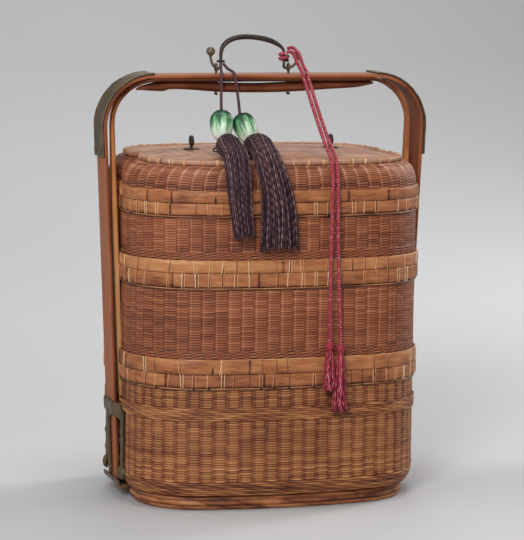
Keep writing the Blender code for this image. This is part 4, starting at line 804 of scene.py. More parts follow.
def woven_shell(name, node, body, mat, seed, lower=False, ribs=0.0, collar=None):
    """A wall's fine outer face, closed over its plain inner face."""
    bottom, top = low(node), high(node)
    rows = max(8, round((top - bottom) / (ROW_PITCH / 4)))
    levels = np.linspace(bottom, top, rows + 1)
    relief, tone = weave(levels, seed, lower, ribs, collar)
    bulge = np.sin(math.pi * ACROSS)
    inner = np.full((9, 1), WALL_INSET + WALL_THICKNESS) - 0.0003 * bulge
    points = np.concatenate([
        ring_points(WALL_INSET - relief, levels), ring_points(inner, np.linspace(top, bottom, 9))])
    tone = np.concatenate([tone, np.full((9, 1), 0.38) + 0.1 * bulge])
    gridded(name, mat, body, (node,), points, tone, wrap_rows=True)


def walls():
    woven_shell("bottom_weave", "bottom_wall", "base", WEAVE_LOW, 31, True, STAKE_RELIEF)
    for name, seed, ribs in (("middle", 32, STAKE_RELIEF), ("top", 33, FINE_RIBS)):
        collar = tuple(high(name + "_lower_band") + rise for rise in COLLAR)
        woven_shell(name + "_weave", name + "_wall", name, WEAVE, seed, False, ribs, collar)


# Bands, lashings and twining round the basket
LASH_PITCH, LASH_HALF = 0.0131, 0.00042
LID_JOINTS = (0.0546, 0.0992, 0.245, 0.402, 0.561, 0.7832, 0.8111)
# Distance round from the middle of the front, bottom and top of each split
SPLITS = {
    "lid": (0.8536, 0.3015, 0.3085), "middle_lower": (0.8524, 0.1365, 0.1425), "bottom_rim": (0.0854, 0.1290, 0.1335),
}
SPLIT_HALVES = np.array([0.0003, 0.0011, 0.0010, 0.0007, 0.0003, 0.0002])


def twining(share, rows, rng, count, tilt, tones):
    """Relief and tone of rows of twisted pairs; tones are of a gap, a row, a strand and its chance. The tone follows
    the relief: painted shade in the gaps between rows, painted light on each swelling strand.
    """
    height = 1 / rows
    in_row = share[:, None] / height
    row = np.floor(np.clip(in_row, 0, rows - 1e-6))
    part = in_row - row - 0.5
    turn = count * (np.arange(AROUND) / AROUND) + tilt * part + 0.5 * row
    strand = np.abs(np.cos(math.pi * turn))
    swell = np.clip(1 - (2 * part) ** 2, 0, 1) ** 0.5
    which = np.floor(turn + 0.5).astype(int) % count
    shade = rng.random((rows, count))[row.astype(int), which]
    relief = 0.0002 + 0.0008 * swell * (0.45 + 0.55 * strand)
    gap, plain, lit, chance = tones
    # painted shade in the gaps between rows, painted light on the swelling strands, and a random tone for each strand
    return relief, gap + plain * swell + lit * swell * strand + chance * (shade - 0.5)


def twined_ring(name, node, mat, profile, rows, seed, backs, length, tilt, tones):
    """Rows of twining on a face that follows an (inset, level) profile."""
    rng = np.random.default_rng(seed)
    line = even_steps(np.array(profile, float), count=rows * 5)
    share = np.linspace(0, 1, len(line))
    relief, tone = twining(share, rows, rng, round(PERIMETER / length), tilt, tones)
    outer = ring_points(line[:, :1] - relief + 0.0006, line[:, 1])
    back = ring_points(backs[::-1], line[[-1, 0], 1])
    tone = np.concatenate([tone, np.full((2, AROUND), 0.2)])
    gridded(name, mat, "base", (node,), np.concatenate([outer, back]), tone, wrap_rows=True)


def band_tone(rng, pieces, joints=()):
    """Tone round a band made of a few lengths, with a dark line at each joint."""
    ends = (np.arange(pieces) + rng.uniform(-0.3, 0.3, pieces)) / pieces
    ends = np.sort(np.array(joints) / PERIMETER if joints else ends % 1)
    place = np.arange(AROUND) / AROUND
    which = np.searchsorted(ends, place) % len(ends)
    tone = 0.5 + rng.normal(0, 0.05, len(ends))[which]
    gap = np.min(np.abs((place[:, None] - ends[None] + 0.5) % 1 - 0.5), axis=1) * PERIMETER
    return tone - 0.45 * np.clip(1.3 - gap / 0.0011, 0, 1)


def band(bottom, top, seed, pieces, tone, joints):
    """Points and tones of a band's closed section, with painted shade on its underside and back and painted light on
    its top edge.
    """
    rng = np.random.default_rng(seed)
    height, soft, crown = top - bottom, 0.0007, 0.0003
    # last column: a tone for each point of the section, painted shade under the band and at its back, painted light
    # along its top edge
    insets, levels, edge = np.array([
        (BAND_THICKNESS, bottom, -0.5), (soft, bottom, -0.42), (crown, bottom + soft, -0.08),
        (0.0, bottom + height * 0.3, 0.02), (0.0, bottom + height * 0.7, 0.02), (crown, top - soft, 0.03),
        (soft, top, 0.08), (BAND_THICKNESS, top, -0.2),
    ]).T
    insets = insets[:, None] + 0.00012 * rng.normal(0, 1, (1, AROUND // 8)).repeat(8, 1)
    around = band_tone(rng, pieces, joints)
    return ring_points(insets, levels), around + edge[:, None] + tone


def lash(soup, at, bottom, top, lean, tone, outer=0.0, half=LASH_HALF):
    """One thin cane over a band at a distance round it, in metres from the middle of the front."""
    wrap, end = 0.0012, 0.0005
    at = np.array([at, at, at + lean * 0.3, at + lean * 0.7, at + lean, at + lean])
    share = np.interp(np.mod(at, PERIMETER), np.arange(AROUND + 1) * PERIMETER / AROUND, np.append(PARAMS, 12.0))
    inset = outer + np.array([wrap, -0.0002, -0.0004, -0.0004, -0.0002, wrap])
    height = top - bottom
    z = np.array([bottom - end, bottom, bottom + height * 0.3, bottom + height * 0.7, top, top + end])
    path = np.concatenate([plan(share, inset), z[:, None]], 1)
    up = np.concatenate([outward(share), np.zeros((6, 1))], 1)
    up[0, 2], up[-1, 2] = -1.0, 1.0
    soup.tube(path, unit(up), half, 0.0003, tone=tone)


def lashings(soup, bottom, top, seed, keep, slant, knots):
    """Canes over a band: doubled with a dark slit between them, single, or a dark slit alone. Each dark slit is a thin
    near-black cane, painted shade standing for the shade in the slit.
    """
    rng = np.random.default_rng(seed)
    count = round(PERIMETER / LASH_PITCH)
    for index in range(count):
        kind, miss = rng.random(), rng.random() > keep
        at = (index + 0.5 + rng.uniform(-0.10, 0.10)) * PERIMETER / count
        gap, lean = rng.uniform(0.0020, 0.0034), rng.uniform(-slant, slant)
        tone = rng.uniform(0.50, 0.95)
        if miss:
            continue
        if kind < 0.92:
            lash(soup, at, bottom, top, lean, tone)
        if kind < 0.78:
            lash(soup, at + gap, bottom, top, lean * rng.uniform(-1, 1), tone * rng.uniform(0.7, 1.0))
        # a thin near-black cane in the slit: painted shade
        if 0.10 < kind < 0.60 or kind > 0.92:
            lash(soup, at + gap * 0.5, bottom, top, lean, rng.uniform(0.0, 0.2), 0.0002, 0.00032)
        if rng.random() < knots:
            lash(soup, at + gap * 0.5, bottom - 0.0022, bottom - 0.0006, 0.0, 0.0, 0.0, 0.0010)


def thread_ring(soup, level, inset, radius, seed, tone, bumps=0.0):
    """A thin cane that runs round the basket."""
    rng = np.random.default_rng(seed)
    flat_tone = tone + 0.3 * patchy(rng, 2, AROUND, 1, 12)[0]
    wander = 0.0002 * patchy(rng, 2, AROUND, 1, 20)[0]
    angle = circle(6)[:, None]
    insets = inset - radius * (1 + bumps * np.cos(math.pi * np.arange(AROUND))) * np.cos(angle)
    points = ring_points(insets, level + wander + radius * np.sin(angle))
    soup.grid(points, np.broadcast_to(flat_tone, insets.shape), wrap_rows=True)


def banded(name, node, body, seed, pieces=7, tone=0.0, keep=0.0, slant=0.001, knots=0.0, joints=()):
    """A split bamboo band with its lashings and its split."""
    bottom, top = low(node), high(node)
    face = band(bottom, top, seed, pieces, tone, joints)
    gridded(name + "_face", BAMBOO, body, (node,), *face, wrap_rows=True)
    soup = Soup()
    if keep:
        lashings(soup, bottom, top, seed + 100, keep, slant, knots)
    if name in SPLITS:
        at, split_bottom, split_top = SPLITS[name]
        lash(soup, at, split_bottom, split_top, 0.0004, 0.0, 0.0002, SPLIT_HALVES)
    if soup.count:
        soup.build(name + "_lashings", LASH, body)


def thread(name, body, nodes, *rings):
    soup = Soup()
    for ring in rings:
        thread_ring(soup, *ring)
    soup.build(name, LASH, body, nodes)


def bands():
    for index, (name, body) in enumerate((("bottom", "base"), ("middle", "middle"), ("top", "top"))):
        banded(name + "_rim", name + "_rim_band", body, 41 + index, keep=0.90, knots=0.4 if index == 0 else 0.06)
        cane = name + "_rim_cane"
        level = (low(cane) + high(cane)) / 2
        # a pale cane round the rim, and just under it a near-black ring that is its painted shadow
        thread(name + "_rim_line_and_painted_shadow", body, (cane,), (level + 0.0002, 0.0014, 0.0006, 51 + index, 0.46),
               (level - 0.0010, 0.0018, 0.0006, 61 + index, 0.08))
        if name != "bottom":
            lower = name + "_lower_band"
            banded(name + "_lower", lower, body, 71 + index, 5, 0.03, 0.45 if index == 1 else 0.82, 0.0022)
            thread(name + "_edge_thread", body, (), (high(lower) + 0.0004, 0.0012, 0.0005, 81 + index, 0.58, 0.4))
    banded("lid", "lid_band", "lid", 91, 9, -0.03, joints=LID_JOINTS)
    thread("lid_edge_thread", "lid", (), (high("lid_band") + 0.0003, 0.0014, 0.0004, 92, 0.5))
    bottom, top = low("bottom_belt"), high("bottom_belt")
    twined_ring("belt_twining", "bottom_belt", WEAVE_LOW,
                [(0.0012, bottom), (0.0010, (bottom + top) / 2), (0.0012, top)], 6, 95, (0.0022, 0.0022),
                0.020, 0.30, (0.12, 0.26, 0.20, 0.34))
    bottom, top = low("base_plinth"), high("base_plinth")
    twined_ring("base_twining", "base_plinth", WEAVE_LOW,
                [(0.0080, bottom), (0.0042, bottom + 0.45 * (top - bottom)), (0.0026, top - 0.002), (0.0028, top)],
                6, 96, (0.0110, 0.0055), 0.022, 0.45, (0.06, 0.24, 0.28, 0.40))
    bottom, top = low("foot_ring"), 0.013
    twined_ring("foot_twining", "foot_ring", BAMBOO,
                [(0.0145, bottom), (0.0130, bottom + 0.002), (0.0122, 0.5 * top), (0.0130, top - 0.0015),
                 (0.0150, top + 0.0015)],
                3, 97, (0.0200, 0.0200), 0.045, 0.35, (0.16, 0.24, 0.16, 0.40))


# Lid
LID_BOTTOM, LID_TOP, STRAIGHT = 0.3015, 0.3417, 0.013
RIM_HEIGHT, RIM_WIDTH = 0.0052, 0.0055
LEDGE_TOP = LID_TOP - RIM_HEIGHT - SEAT
RING_RADIUS, RING_RISE = 0.0045, 0.0057
RING_PLATE = [
    (0.0070, -0.0002), (0.0085, 0.0), (0.0084, 0.0005), (0.0066, 0.0010), (0.0030, 0.0014), (0.0018, 0.0020)]


def dome_rows(shares, relief, thickness):
    """Rings of the lid's shoulder at shares of its quarter turn, pushed out by relief."""
    angle = math.pi / 2 * shares[:, None]
    low_level, high_level = LID_BOTTOM + STRAIGHT, LEDGE_TOP - thickness
    params = np.broadcast_to(PARAMS, relief.shape)
    base = plan(params, WALL_INSET + thickness - relief * np.cos(angle))
    mouth = plan(params, thickness + 0.0004 - relief * np.cos(angle), *PANEL)
    flat = base + (mouth - base) * (1 - np.cos(angle))[..., None]
    level = low_level + (high_level - low_level) * np.sin(angle) + relief * np.sin(angle)
    return np.concatenate([flat, level[..., None]], -1)


def lid_shell():
    rng = np.random.default_rng(34)
    straight_rows, turn_rows = round(STRAIGHT / (ROW_PITCH / 4)), 52
    straight = np.linspace(LID_BOTTOM, LID_BOTTOM + STRAIGHT, straight_rows, endpoint=False)
    levels = np.concatenate([straight, LID_BOTTOM + STRAIGHT + np.arange(turn_rows) * ROW_PITCH / 4])
    relief, tone = weave(levels, 34, False, FINE_RIBS)
    upper = np.clip((levels - LID_BOTTOM - STRAIGHT) / 0.02, 0, 1)[:, None]
    tone = tone - 0.04 + 0.12 * upper * (np.abs(ACROSS - 0.125) < 0.14)
    x, y = np.abs(plan(PARAMS)).T
    corner = np.clip((x / HALF_WIDTH) * (y / HALF_DEPTH) * 2.4 - 0.75, 0, 1)
    worn = corner * np.clip((levels - LID_BOTTOM - 0.012) / 0.03, 0, 1)[:, None]
    tone = tone + 0.42 * worn * rng.random(tone.shape) ** 1.5 * (0.6 + patchy(rng, len(tone), AROUND, 12, 6))
    points = np.concatenate([
        ring_points(WALL_INSET - relief[:straight_rows], straight),
        dome_rows(np.linspace(0, 1, turn_rows), relief[straight_rows:], 0.0),
        ring_points([0.0075, 0.0075], [LEDGE_TOP, LEDGE_TOP - WALL_THICKNESS], *PANEL),
        dome_rows(np.linspace(1, 0, 8), np.zeros((8, AROUND)), WALL_THICKNESS),
        ring_points([WALL_INSET + WALL_THICKNESS], [LID_BOTTOM]),
    ])
    tone = np.concatenate([tone, np.full((11, AROUND), 0.35)])
    gridded("lid_weave", WEAVE_LID, "lid", ("lid_dome",), points, tone, wrap_rows=True)


def lid_panel():
    """The crowned top: canes side by side along the basket, held down by rows of stitches."""
    rng = np.random.default_rng(35)
    inset, pitch, stitch = RIM_WIDTH + SEAT, 0.0024, 0.011
    edge = plan(np.linspace(0, 3, 600), inset, *PANEL)
    depth = -edge[:, 1]
    rows, columns = 240, 120
    y = np.linspace(-depth.max() + 0.0002, depth.max() - 0.0002, rows)[:, None]
    half = np.interp(np.abs(y), depth[::-1], edge[::-1, 0])
    x = half * np.linspace(-1, 1, columns)
    radius = np.sqrt((x / (PANEL_HALF_WIDTH - inset)) ** 2 + (y / (PANEL_HALF_DEPTH - inset)) ** 2).clip(0, 1)
    bottom = LID_TOP - RIM_HEIGHT
    crown = bottom + 0.0035 + 0.006 * (1 - radius ** 2)
    column = np.floor(x / stitch).astype(int)
    phase = y / pitch + column % 2 / 2
    front = np.cos(2 * math.pi * phase)
    bulge = np.abs(np.sin(math.pi * x / stitch))
    relief = 0.00032 * front * bulge + 0.0002 * bulge
    row = np.floor(phase + 0.5).astype(int)
    row = row - row.min()
    shade = rng.random((row.max() + 1, 64))[row, (column + 32) % 64]
    # lighter where each cane rises between the stitches, darker in the dips: painted light and shade that follow the
    # relief
    tone = 0.50 + 0.16 * front * bulge + 0.24 * (shade - 0.5) + rng.normal(0, 0.05, row.max() + 1)[row]
    tone = tone + 0.12 * np.clip(radius - 0.7, 0, 1)
    edge_drop = np.clip((radius - 0.985) / 0.015, 0, 1)
    y = np.broadcast_to(y, x.shape)
    sheets = [np.stack([x, y, z], -1) for z in (crown + relief * (1 - edge_drop), np.full_like(x, bottom))]
    shift = rows * columns
    index = np.arange(shift).reshape(rows, columns)
    quads = np.stack([index[:-1, :-1], index[:-1, 1:], index[1:, 1:], index[1:, :-1]], -1).reshape(-1, 4)
    loop = np.concatenate([index[0], index[1:, -1], index[-1, -2::-1], index[-2:0:-1, 0]])
    following = np.roll(loop, -1)
    wall = np.stack([loop, loop + shift, following + shift, following], -1)
    soup = Soup()
    soup.add(np.array(sheets), [quads, quads[:, ::-1] + shift, wall],
             np.concatenate([tone.ravel(), np.full(shift, 0.3)]))
    soup.build("lid_top_weave", WEAVE_TOP, "lid", ("lid_panel",))


def squared(values, power):
    """Sines or cosines drawn out towards the sides of a square."""
    return np.sign(values) * np.abs(values) ** power


def panel_rim():
    """A split cane round the lid's top, bound down with wide wraps."""
    rng = np.random.default_rng(36)
    half_width, half_height, middle = RIM_WIDTH / 2, RIM_HEIGHT / 2, LID_TOP - RIM_HEIGHT / 2
    angle = circle(12)
    inset = half_width - half_width * squared(np.cos(angle), 0.7)
    level = middle + half_height * squared(np.sin(angle), 0.7)
    # lighter over the top of the cane and darker under it: painted light and shade
    tone = band_tone(rng, 6) + 0.02 + 0.1 * np.sin(angle)[:, None]
    gridded("lid_rim_cane", WEAVE_TOP, "lid", ("lid_panel_rim",), ring_points(inset, level, *PANEL), tone,
            "bamboo_band", wrap_rows=True)
    soup = Soup()
    outline = plan(PARAMS, half_width, *PANEL)
    closed = np.vstack([outline, outline[:1]])
    lengths = travel(closed)
    count, doubled, over = 54, 0.0016, 0.0003
    turn = np.linspace(-0.35 * math.pi, 1.35 * math.pi, 13)
    radial = (half_width + over) * squared(np.cos(turn), 0.7)
    rise = (half_height + over) * squared(np.sin(turn), 0.7)
    for index in range(count):
        for shift in (0.0, doubled):
            at = ((index + rng.uniform(-0.1, 0.1)) / count * lengths[-1] + shift) % lengths[-1]
            centre, ahead = (
                np.array([np.interp(place, lengths, line) for line in closed.T])
                for place in (at, (at + 0.001) % lengths[-1]))
            along = unit(ahead - centre)
            out = np.array([along[1], -along[0]])
            path = np.stack([centre[0] + out[0] * radial, centre[1] + out[1] * radial, middle + rise], -1)
            up = np.stack([out[0] * np.cos(turn), out[1] * np.cos(turn), np.sin(turn)], -1)
            soup.tube(path, up, 0.0007, 0.00025, tone=rng.uniform(0.5, 0.9))
    soup.build("lid_rim_wraps", LASH, "lid")


def revolved(soup, profile, centre, tone, sides):
    """A solid turned about an upright line through centre, from (radius, level) points, bottom up."""
    radius, level = np.array(profile).T
    path = np.array(centre, float) + np.array([0, 0, 1.0]) * level[:, None]
    soup.grid(rings_along(path, (1, 0, 0), (0, 1, 0), radius, radius, circle(sides)), tone, caps=True)


def lid_rings():
    for name in ("left", "right"):
        node, plate = "lid_loop_" + name, "lid_plate_" + name
        box_low, box_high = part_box(node)
        x, centre_z, floor_z = (box_low[0] + box_high[0]) / 2, box_high[2] - RING_RISE, low(plate)
        angle = circle(40)
        out = np.stack([0 * angle, np.cos(angle), np.sin(angle)], -1)
        centre = np.array([x, 0, centre_z]) + RING_RADIUS * out
        soup = Soup()
        soup.grid(rings_along(centre, out, (1, 0, 0), 0.0012, 0.0017, circle(10)), 0.35, wrap_rows=True)
        post = [(0.0004, -0.009), (0.0012, -0.0085), (0.0012, centre_z - RING_RADIUS - floor_z)]
        revolved(soup, post, (x, 0, floor_z), 0.3, 12)
        soup.build("lid_ring_" + name, METAL, "lid", (node,))
        soup = Soup()
        revolved(soup, RING_PLATE, (x, 0, floor_z), 0.45, 32)
        soup.build("lid_ring_plate_" + name, METAL, "lid", (plate,))


# Handle
HANDLE_TOP, HANDLE_WIDTH, HANDLE_HALF_SPAN, PLINTH_TOP = 0.4192, 0.034, 0.1658, 0.029
STRIP_THICKNESS, SLAT_THICKNESS, SLAT_WIDTH = 0.0036, 0.0032, 0.010
SLAT_TOP = HANDLE_TOP - STRIP_THICKNESS - SEAT
GRIP_TOP, GRIP_DEPTH, GRIP_HALF_LENGTH = SLAT_TOP - SLAT_THICKNESS - SEAT, 0.0113, 0.131
METAL_THICKNESS, STRAP_HALF_WIDTH, BELT_THICKNESS = 0.0012, 0.018, 0.0015
# Half span, top, radius of the bends and distance out at the feet
STRIP = (HANDLE_HALF_SPAN, HANDLE_TOP, 0.051, HALF_WIDTH - WALL_INSET + SEAT + 0.0002 + STRIP_THICKNESS)
SLAT = (HANDLE_HALF_SPAN - STRIP_THICKNESS - 0.0071, SLAT_TOP, 0.0436,
        HALF_WIDTH - WALL_INSET - GROOVE_DEPTH + 0.0031 + SLAT_THICKNESS)
LEG_POINTS, BEND_POINTS = 29, 28
# Place along, shift across, width, top and bottom of the grip, as shares
GRIP_SECTION_SHARES = [
    (-1.02, -0.93, 0.06, 0.52, 0.66), (-0.97, -0.62, 0.30, 0.34, 0.70), (-0.87, -0.22, 0.66, 0.16, 0.80),
    (-0.79, 0.0, 0.86, 0.04, 0.84), (-0.73, 0.0, 0.88, 0.02, 0.66), (-0.55, 0.0, 0.90, 0.0, 0.76),
    (-0.35, 0.0, 0.90, 0.12, 0.94), (-0.05, 0.0, 0.90, 0.22, 1.0), (0.22, 0.0, 0.90, 0.12, 0.94),
    (0.50, 0.0, 0.88, 0.0, 0.74), (0.72, 0.0, 0.84, 0.02, 0.60), (0.86, 0.0, 0.70, 0.03, 0.32),
]


def strip_line(strip, foot_z, depth=0.0):
    """Half of a bent strip's line at a depth under its outer face, from foot to crown, x and z."""
    half_span, top, radius, foot_x = strip
    lean = math.atan2(half_span - foot_x, top - radius - PLINTH_TOP)
    centre = np.array([half_span - radius * math.cos(lean), top - radius])
    reach = radius - depth
    knee = centre + reach * np.array([math.cos(lean), -math.sin(lean)])
    foot = np.array([knee[0] - (knee[1] - foot_z) * math.tan(lean), foot_z])
    leg = foot + (knee - foot) * np.linspace(0, 1, LEG_POINTS + 1)[:-1, None]
    turn = np.linspace(-lean, math.pi / 2, BEND_POINTS)
    bend = centre + reach * np.stack([np.cos(turn), np.sin(turn)], -1)
    crown = [(bend[-1][0] * (1 - t), bend[-1][1]) for t in np.linspace(0, 1, 16)[1:]]
    return np.vstack([leg, bend, crown])


def bent_strip(name, mat, node, lines, half_width, tone):
    """A strip between its outer and inner lines, its edges eased and its faces left flat."""
    outer, inner = lines
    w = np.broadcast_to(half_width, len(outer))
    ease = np.minimum(0.0006, w * 0.2)
    section = [(0.2, w), (0.0, w - ease), (0.0, w - 2 * ease)]
    section += [(through, -y) for through, y in section[::-1]]
    section += [(1 - through, y) for through, y in section[::-1]]
    rings = []
    for through, y in section:
        point = outer + (inner - outer) * through
        rings.append(np.stack([point[:, 0], y, point[:, 1]], -1))
    # tone across the section: the outer face as it is, painted shade on the edges and the inner face, darkest at the
    # inner corners
    shade = np.array([-0.12, 0.0, 0.0, 0.0, 0.0, -0.12, -0.2] + [-0.12] * 4 + [-0.2])
    gridded(name, mat, "base", (node,), np.stack(rings, 1), tone[:, None] + shade, caps=True)


def handle_strips():
    rng = np.random.default_rng(101)

    def arches(strip, foot_z, thickness):
        halves = (strip_line(strip, foot_z, depth) for depth in (0.0, thickness))
        return [np.vstack([half, half[-2::-1] * np.array([-1, 1])]) for half in halves]

    lines = arches(STRIP, low("handle_outer_strip"), STRIP_THICKNESS)
    outer, count = lines[0], len(lines[0])
    tone = 0.50 + 0.07 * np.interp(np.arange(count), np.linspace(0, count, 14), rng.uniform(-1, 1, 14))
    # paler towards the crown: a painted sheen
    tone = tone + 0.10 * np.clip((outer[:, 1] - HANDLE_TOP + 0.012) / 0.010, 0, 1)
    bent_strip("outer_strip", HANDLE_WOOD, "handle_outer_strip", lines, HANDLE_WIDTH / 2, tone)
    lines = arches(SLAT, PLINTH_TOP, SLAT_THICKNESS)
    outer, along = lines[0], np.minimum(np.arange(count), count - 1 - np.arange(count))
    swell = 0.0020 * np.clip((30 - along) / 8.0, 0, 1) * np.clip((along - 2) / 8.0, 0, 1)
    outer[:, 0] += np.sign(outer[:, 0]) * swell
    share = np.clip((along - 28) / 28.0, 0, 1) ** 2.2
    width = SLAT_WIDTH / 2 + (HANDLE_WIDTH - SLAT_WIDTH) / 2 * share
    # lighter down the legs, painted light against the outer strip's shadow; darker from the bend over the crown
    tone = 0.50 + 0.32 * np.clip((27 - along) / 10.0, 0, 1) - 0.24 * np.clip((along - 36) / 20.0, 0, 1)
    bent_strip("inner_strip", SLAT_WOOD, "handle_inner_strip", lines, width, tone)


def grip():
    sections = even_steps(smoothed(GRIP_SECTION_SHARES, 10), count=60)
    angle = circle(16)
    rings = []
    for along, shift, width, top, bottom in sections:
        x, y, w = along * GRIP_HALF_LENGTH, shift * HANDLE_WIDTH / 2, max(width, 0.04) * HANDLE_WIDTH / 2
        high_z, low_z = GRIP_TOP - max(top, 0) * GRIP_DEPTH, GRIP_TOP - bottom * GRIP_DEPTH
        rise = np.sin(angle)
        level = np.where(rise > 0.5, high_z - 0.0002, (high_z + low_z) / 2 + rise * (high_z - low_z) / 2)
        rings.append(np.stack([np.full(16, x), y + squared(np.cos(angle), 0.6) * w, level], -1))
    gridded("grip_wood", HANDLE_WOOD, "base", ("grip_bar",), np.array(rings)[:, ::-1], 0.30, caps=True)


def shoulder(side, name):
    """The metal strap over the bend, with its edges turned up a little."""
    node = "shoulder_strap_" + name
    lines = [
        strip_line(STRIP, low(node), -depth)[:LEG_POINTS + BEND_POINTS] for depth in (SEAT, SEAT + METAL_THICKNESS)]
    steps = np.linspace(-1, 1, 17)
    edge = np.clip(np.abs(steps) - 0.86, 0, 1) / 0.14
    out = unit(lines[1] - lines[0])
    beaten = np.random.default_rng(7 + side).normal(0, 0.00012, (len(out), len(steps)))
    sheets = []
    for line, rise in zip(lines, (0.0 * beaten, beaten + 0.0006 * edge)):
        flat = line[:, None] + out[:, None] * rise[..., None]
        y = np.broadcast_to(steps * STRAP_HALF_WIDTH, flat.shape[:2])
        sheets.append(np.stack([side * flat[..., 0], y, flat[..., 1]], -1))
    rings = np.concatenate([sheets[1], sheets[0][:, ::-1]], 1)
    tone = np.concatenate([0.5 + 0.16 * edge, 0.3 + 0 * edge])
    tone = np.broadcast_to(tone[::side], rings.shape[:2])
    gridded("strap_" + name, METAL, "base", (node,), rings[:, ::side], tone, caps=True)


def fork_face(y, level):
    """Distance of the fork's back from the middle: over the strip it stands proud of the wall."""
    line = strip_line(STRIP, low("handle_outer_strip"))[:LEG_POINTS + 1]
    over = np.interp(level, line[:, 1], line[:, 0]) + SEAT
    beside = HALF_WIDTH - WALL_INSET + SEAT + np.where(level > low("bottom_belt") - 2 * SEAT, BELT_THICKNESS, 0)
    share = np.clip((np.abs(y) - HANDLE_WIDTH / 2 - SEAT) / 0.0114, 0, 1)
    return over + (beside - over) * share


def dome(soup, centre, direction, radius, height, tone):
    direction = unit(np.array(direction, float))
    first = unit(np.cross(direction, (0.0, 0.0, 1.0)))
    turn = np.linspace(0, math.pi / 2 * 0.97, 7)
    reach = np.concatenate([[radius * 0.96], radius * np.cos(turn)])
    rise = np.concatenate([[-0.0006], height * np.sin(turn)])
    path = np.array(centre) + direction * rise[:, None]
    soup.grid(rings_along(path, first, np.cross(direction, first), reach, reach, circle(24)), tone, caps=True)


def fork(side, name):
    """The forked fitting: a beaten cap over the leg, three rounded prongs and a dome on each outer one."""
    node = "fork_" + name
    top, bottom = high(node), low(node)
    half, prong, disc_level, nail_level = 0.034, 0.0312, bottom + 0.008, top - 0.037
    corner, flat = 0.014, 0.0202
    soup = Soup()
    across = np.linspace(-half, half, 41)
    shoulder_drop = corner - np.sqrt(corner ** 2 - np.clip(np.abs(across) - flat, 0, half - flat) ** 2)
    arches = 0.006 * np.sin(math.pi * across / prong) ** 2
    share = np.linspace(0, 1, 9)[:, None]
    level = (top - 0.019 + arches) * (1 - share) + (top - shoulder_drop) * share
    inner = fork_face(across[None], level)
    ease = np.minimum(1, 6 * np.minimum(share, 1 - share)) * np.minimum(1, 10 * (1 - np.abs(across) / half))
    outer = inner + METAL_THICKNESS + 0.0008 * ease
    sheets = [np.stack([side * x, np.broadcast_to(across, x.shape), level], -1) for x in (outer, inner)]
    rings = np.concatenate([sheets[0], sheets[1][:, ::-1]], 1)
    soup.grid(rings[:, ::side], 0.5, caps=True)
    for place in (-prong, 0.0, prong):
        end = bottom + 0.0012 if place == 0 else disc_level
        z = np.linspace(end, top - 0.012, 40)
        swell = 0.00030 * np.clip((z - top + 0.026) / 0.010, 0, 1)
        width, thick = 0.0029 + 2 * swell, 0.0017 + 0 * z
        if place == 0:
            width = width * np.clip(0.35 + (z - end) / 0.010, 0, 1)
        else:
            knot = np.exp(-((z - nail_level) / 0.0024) ** 2) + 0.7 * np.exp(-((z - nail_level + 0.017) / 0.002) ** 2)
            width, thick = width + 0.0009 * knot, thick + 0.0012 * knot
        x = fork_face(np.full(40, place), np.minimum(z, top - 0.020)) + 0.0014
        soup.tube(np.stack([side * x, np.full(40, place), z], -1), (side, 0, 0), width, thick, sides=12, tone=0.48)
    # place across, level, height off the back, lean, radius, height and tone of each dome
    for place, level, off, lean, radius, height, tone in (
            (-prong, disc_level, 0.0016, -0.40, 0.0070, 0.0044, 0.50),
            (prong, disc_level, 0.0016, 0.40, 0.0070, 0.0044, 0.50),
            (0.033, top - 0.013, 0.0012, 0.9, 0.0034, 0.0032, 0.42)):
        x = side * (float(fork_face(np.array(place), np.array(level))) + off)
        dome(soup, (x, place, level), (side, lean, 0), radius, height, tone)
    soup.build("fork_metal_" + name, METAL, "base", (node,))


# Place along and rise of the bail's arch, with its swell; place out and rise of its hooks
BAIL_ARCH_SHARES = [
    (-0.500, 0.22, 0.10), (-0.497, 0.46, 0.30), (-0.475, 0.66, 0.55), (-0.42, 0.80, 0.80), (-0.33, 0.92, 0.95),
    (-0.20, 0.99, 1.0), (-0.07, 1.0, 1.0), (0.08, 0.97, 1.0), (0.22, 0.91, 0.95), (0.34, 0.82, 0.80),
    (0.43, 0.71, 0.45), (0.480, 0.61, 0.12), (0.497, 0.50, 0.0), (0.500, 0.22, 0.0),
]
BAIL_HOOK_SHARES = [(0.0, 0.06), (0.10, -0.02), (0.28, -0.04), (0.46, 0.0), (0.68, 0.08), (0.86, 0.22),
                    (0.96, 0.38), (1.0, 0.52)]
BAIL_RISE = 0.0305


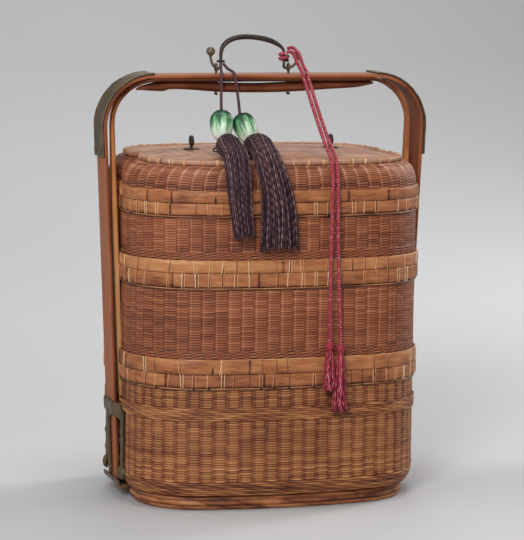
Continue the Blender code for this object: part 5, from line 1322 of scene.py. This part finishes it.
def bail():
    wire, thick, broad, ball = 0.0014, 0.0027, 0.0038, 0.0044
    eye = BAIL_CENTRE[2]

    def hook(side, reach, rise):
        leg_x = BAIL_CENTRE[0] + side * BAIL_WIDTH / 2
        ball_bottom = eye + rise - 2 * ball
        points = []
        for step in range(10, 0, -1):
            turn = math.pi * (0.10 + 0.88 * step / 10)
            points.append((leg_x + side * reach, ball_bottom + ball * (1 - math.cos(turn)), ball * math.sin(turn)))
        for along, up in reversed(BAIL_HOOK_SHARES):
            points.append((leg_x + side * along * reach, eye + up * rise, wire))
        return points

    path = [(x, z, r, r) for x, z, r in hook(-1, 0.0105, 0.0205)]
    for along, rise, swell in BAIL_ARCH_SHARES:
        path.append((BAIL_CENTRE[0] + along * BAIL_WIDTH, eye + rise * BAIL_RISE,
                     wire + (broad - wire) * swell, wire + (thick - wire) * swell))
    path += [(x, z, r, r) for x, z, r in reversed(hook(1, 0.0138, 0.0166))]
    fine = smoothed(path, 10)
    x, z, width, depth = fine.T
    width, depth = np.maximum(width, 0.0004), np.maximum(depth, 0.0004)
    centre = np.stack([x, 0 * x, z], -1)
    tangent = unit(np.gradient(centre, axis=0))
    normal = np.stack([-tangent[:, 2], 0 * x, tangent[:, 0]], -1)
    tone = 0.46 + 0.25 * np.clip(1 - (width - wire) / (broad - wire), 0, 1)
    tone = np.where(np.abs(x - BAIL_CENTRE[0]) > BAIL_WIDTH / 2 + 2 * wire, 0.85, tone)
    rings = rings_along(centre, (0, 1, 0), normal, width, depth, circle(16))
    gridded("bail_bow", BAIL_METAL, "bail", ("bail",), rings, tone, caps=True)


camera()
floor()
world = bpy.data.worlds.new("studio")
bpy.context.scene.world = world
world.use_nodes = True
world.node_tree.nodes["Background"].inputs["Color"].default_value = (0.985, 0.99, 1.0, 1.0)
world.node_tree.nodes["Background"].inputs["Strength"].default_value = 0.22
bpy.context.scene.view_settings.view_transform = "Standard"
for lamp in LAMPS:
    area(*lamp)
soft_goods()
walls()
bands()
lid_shell()
lid_panel()
panel_rim()
lid_rings()
handle_strips()
grip()
for side, name in ((-1, "left"), (1, "right")):
    shoulder(side, name)
    fork(side, name)
bail()

# CAD nodes that keep their own shape
for name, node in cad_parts.items():
    if not node.hide_render:
        kept = METAL_PLAIN
        if name.endswith(("_hoop", "_floor")):
            kept = BAMBOO_PLAIN
        elif name.startswith("leg_spacer"):
            kept = SLAT_PLAIN
        for slot in node.material_slots:
            slot.material = kept
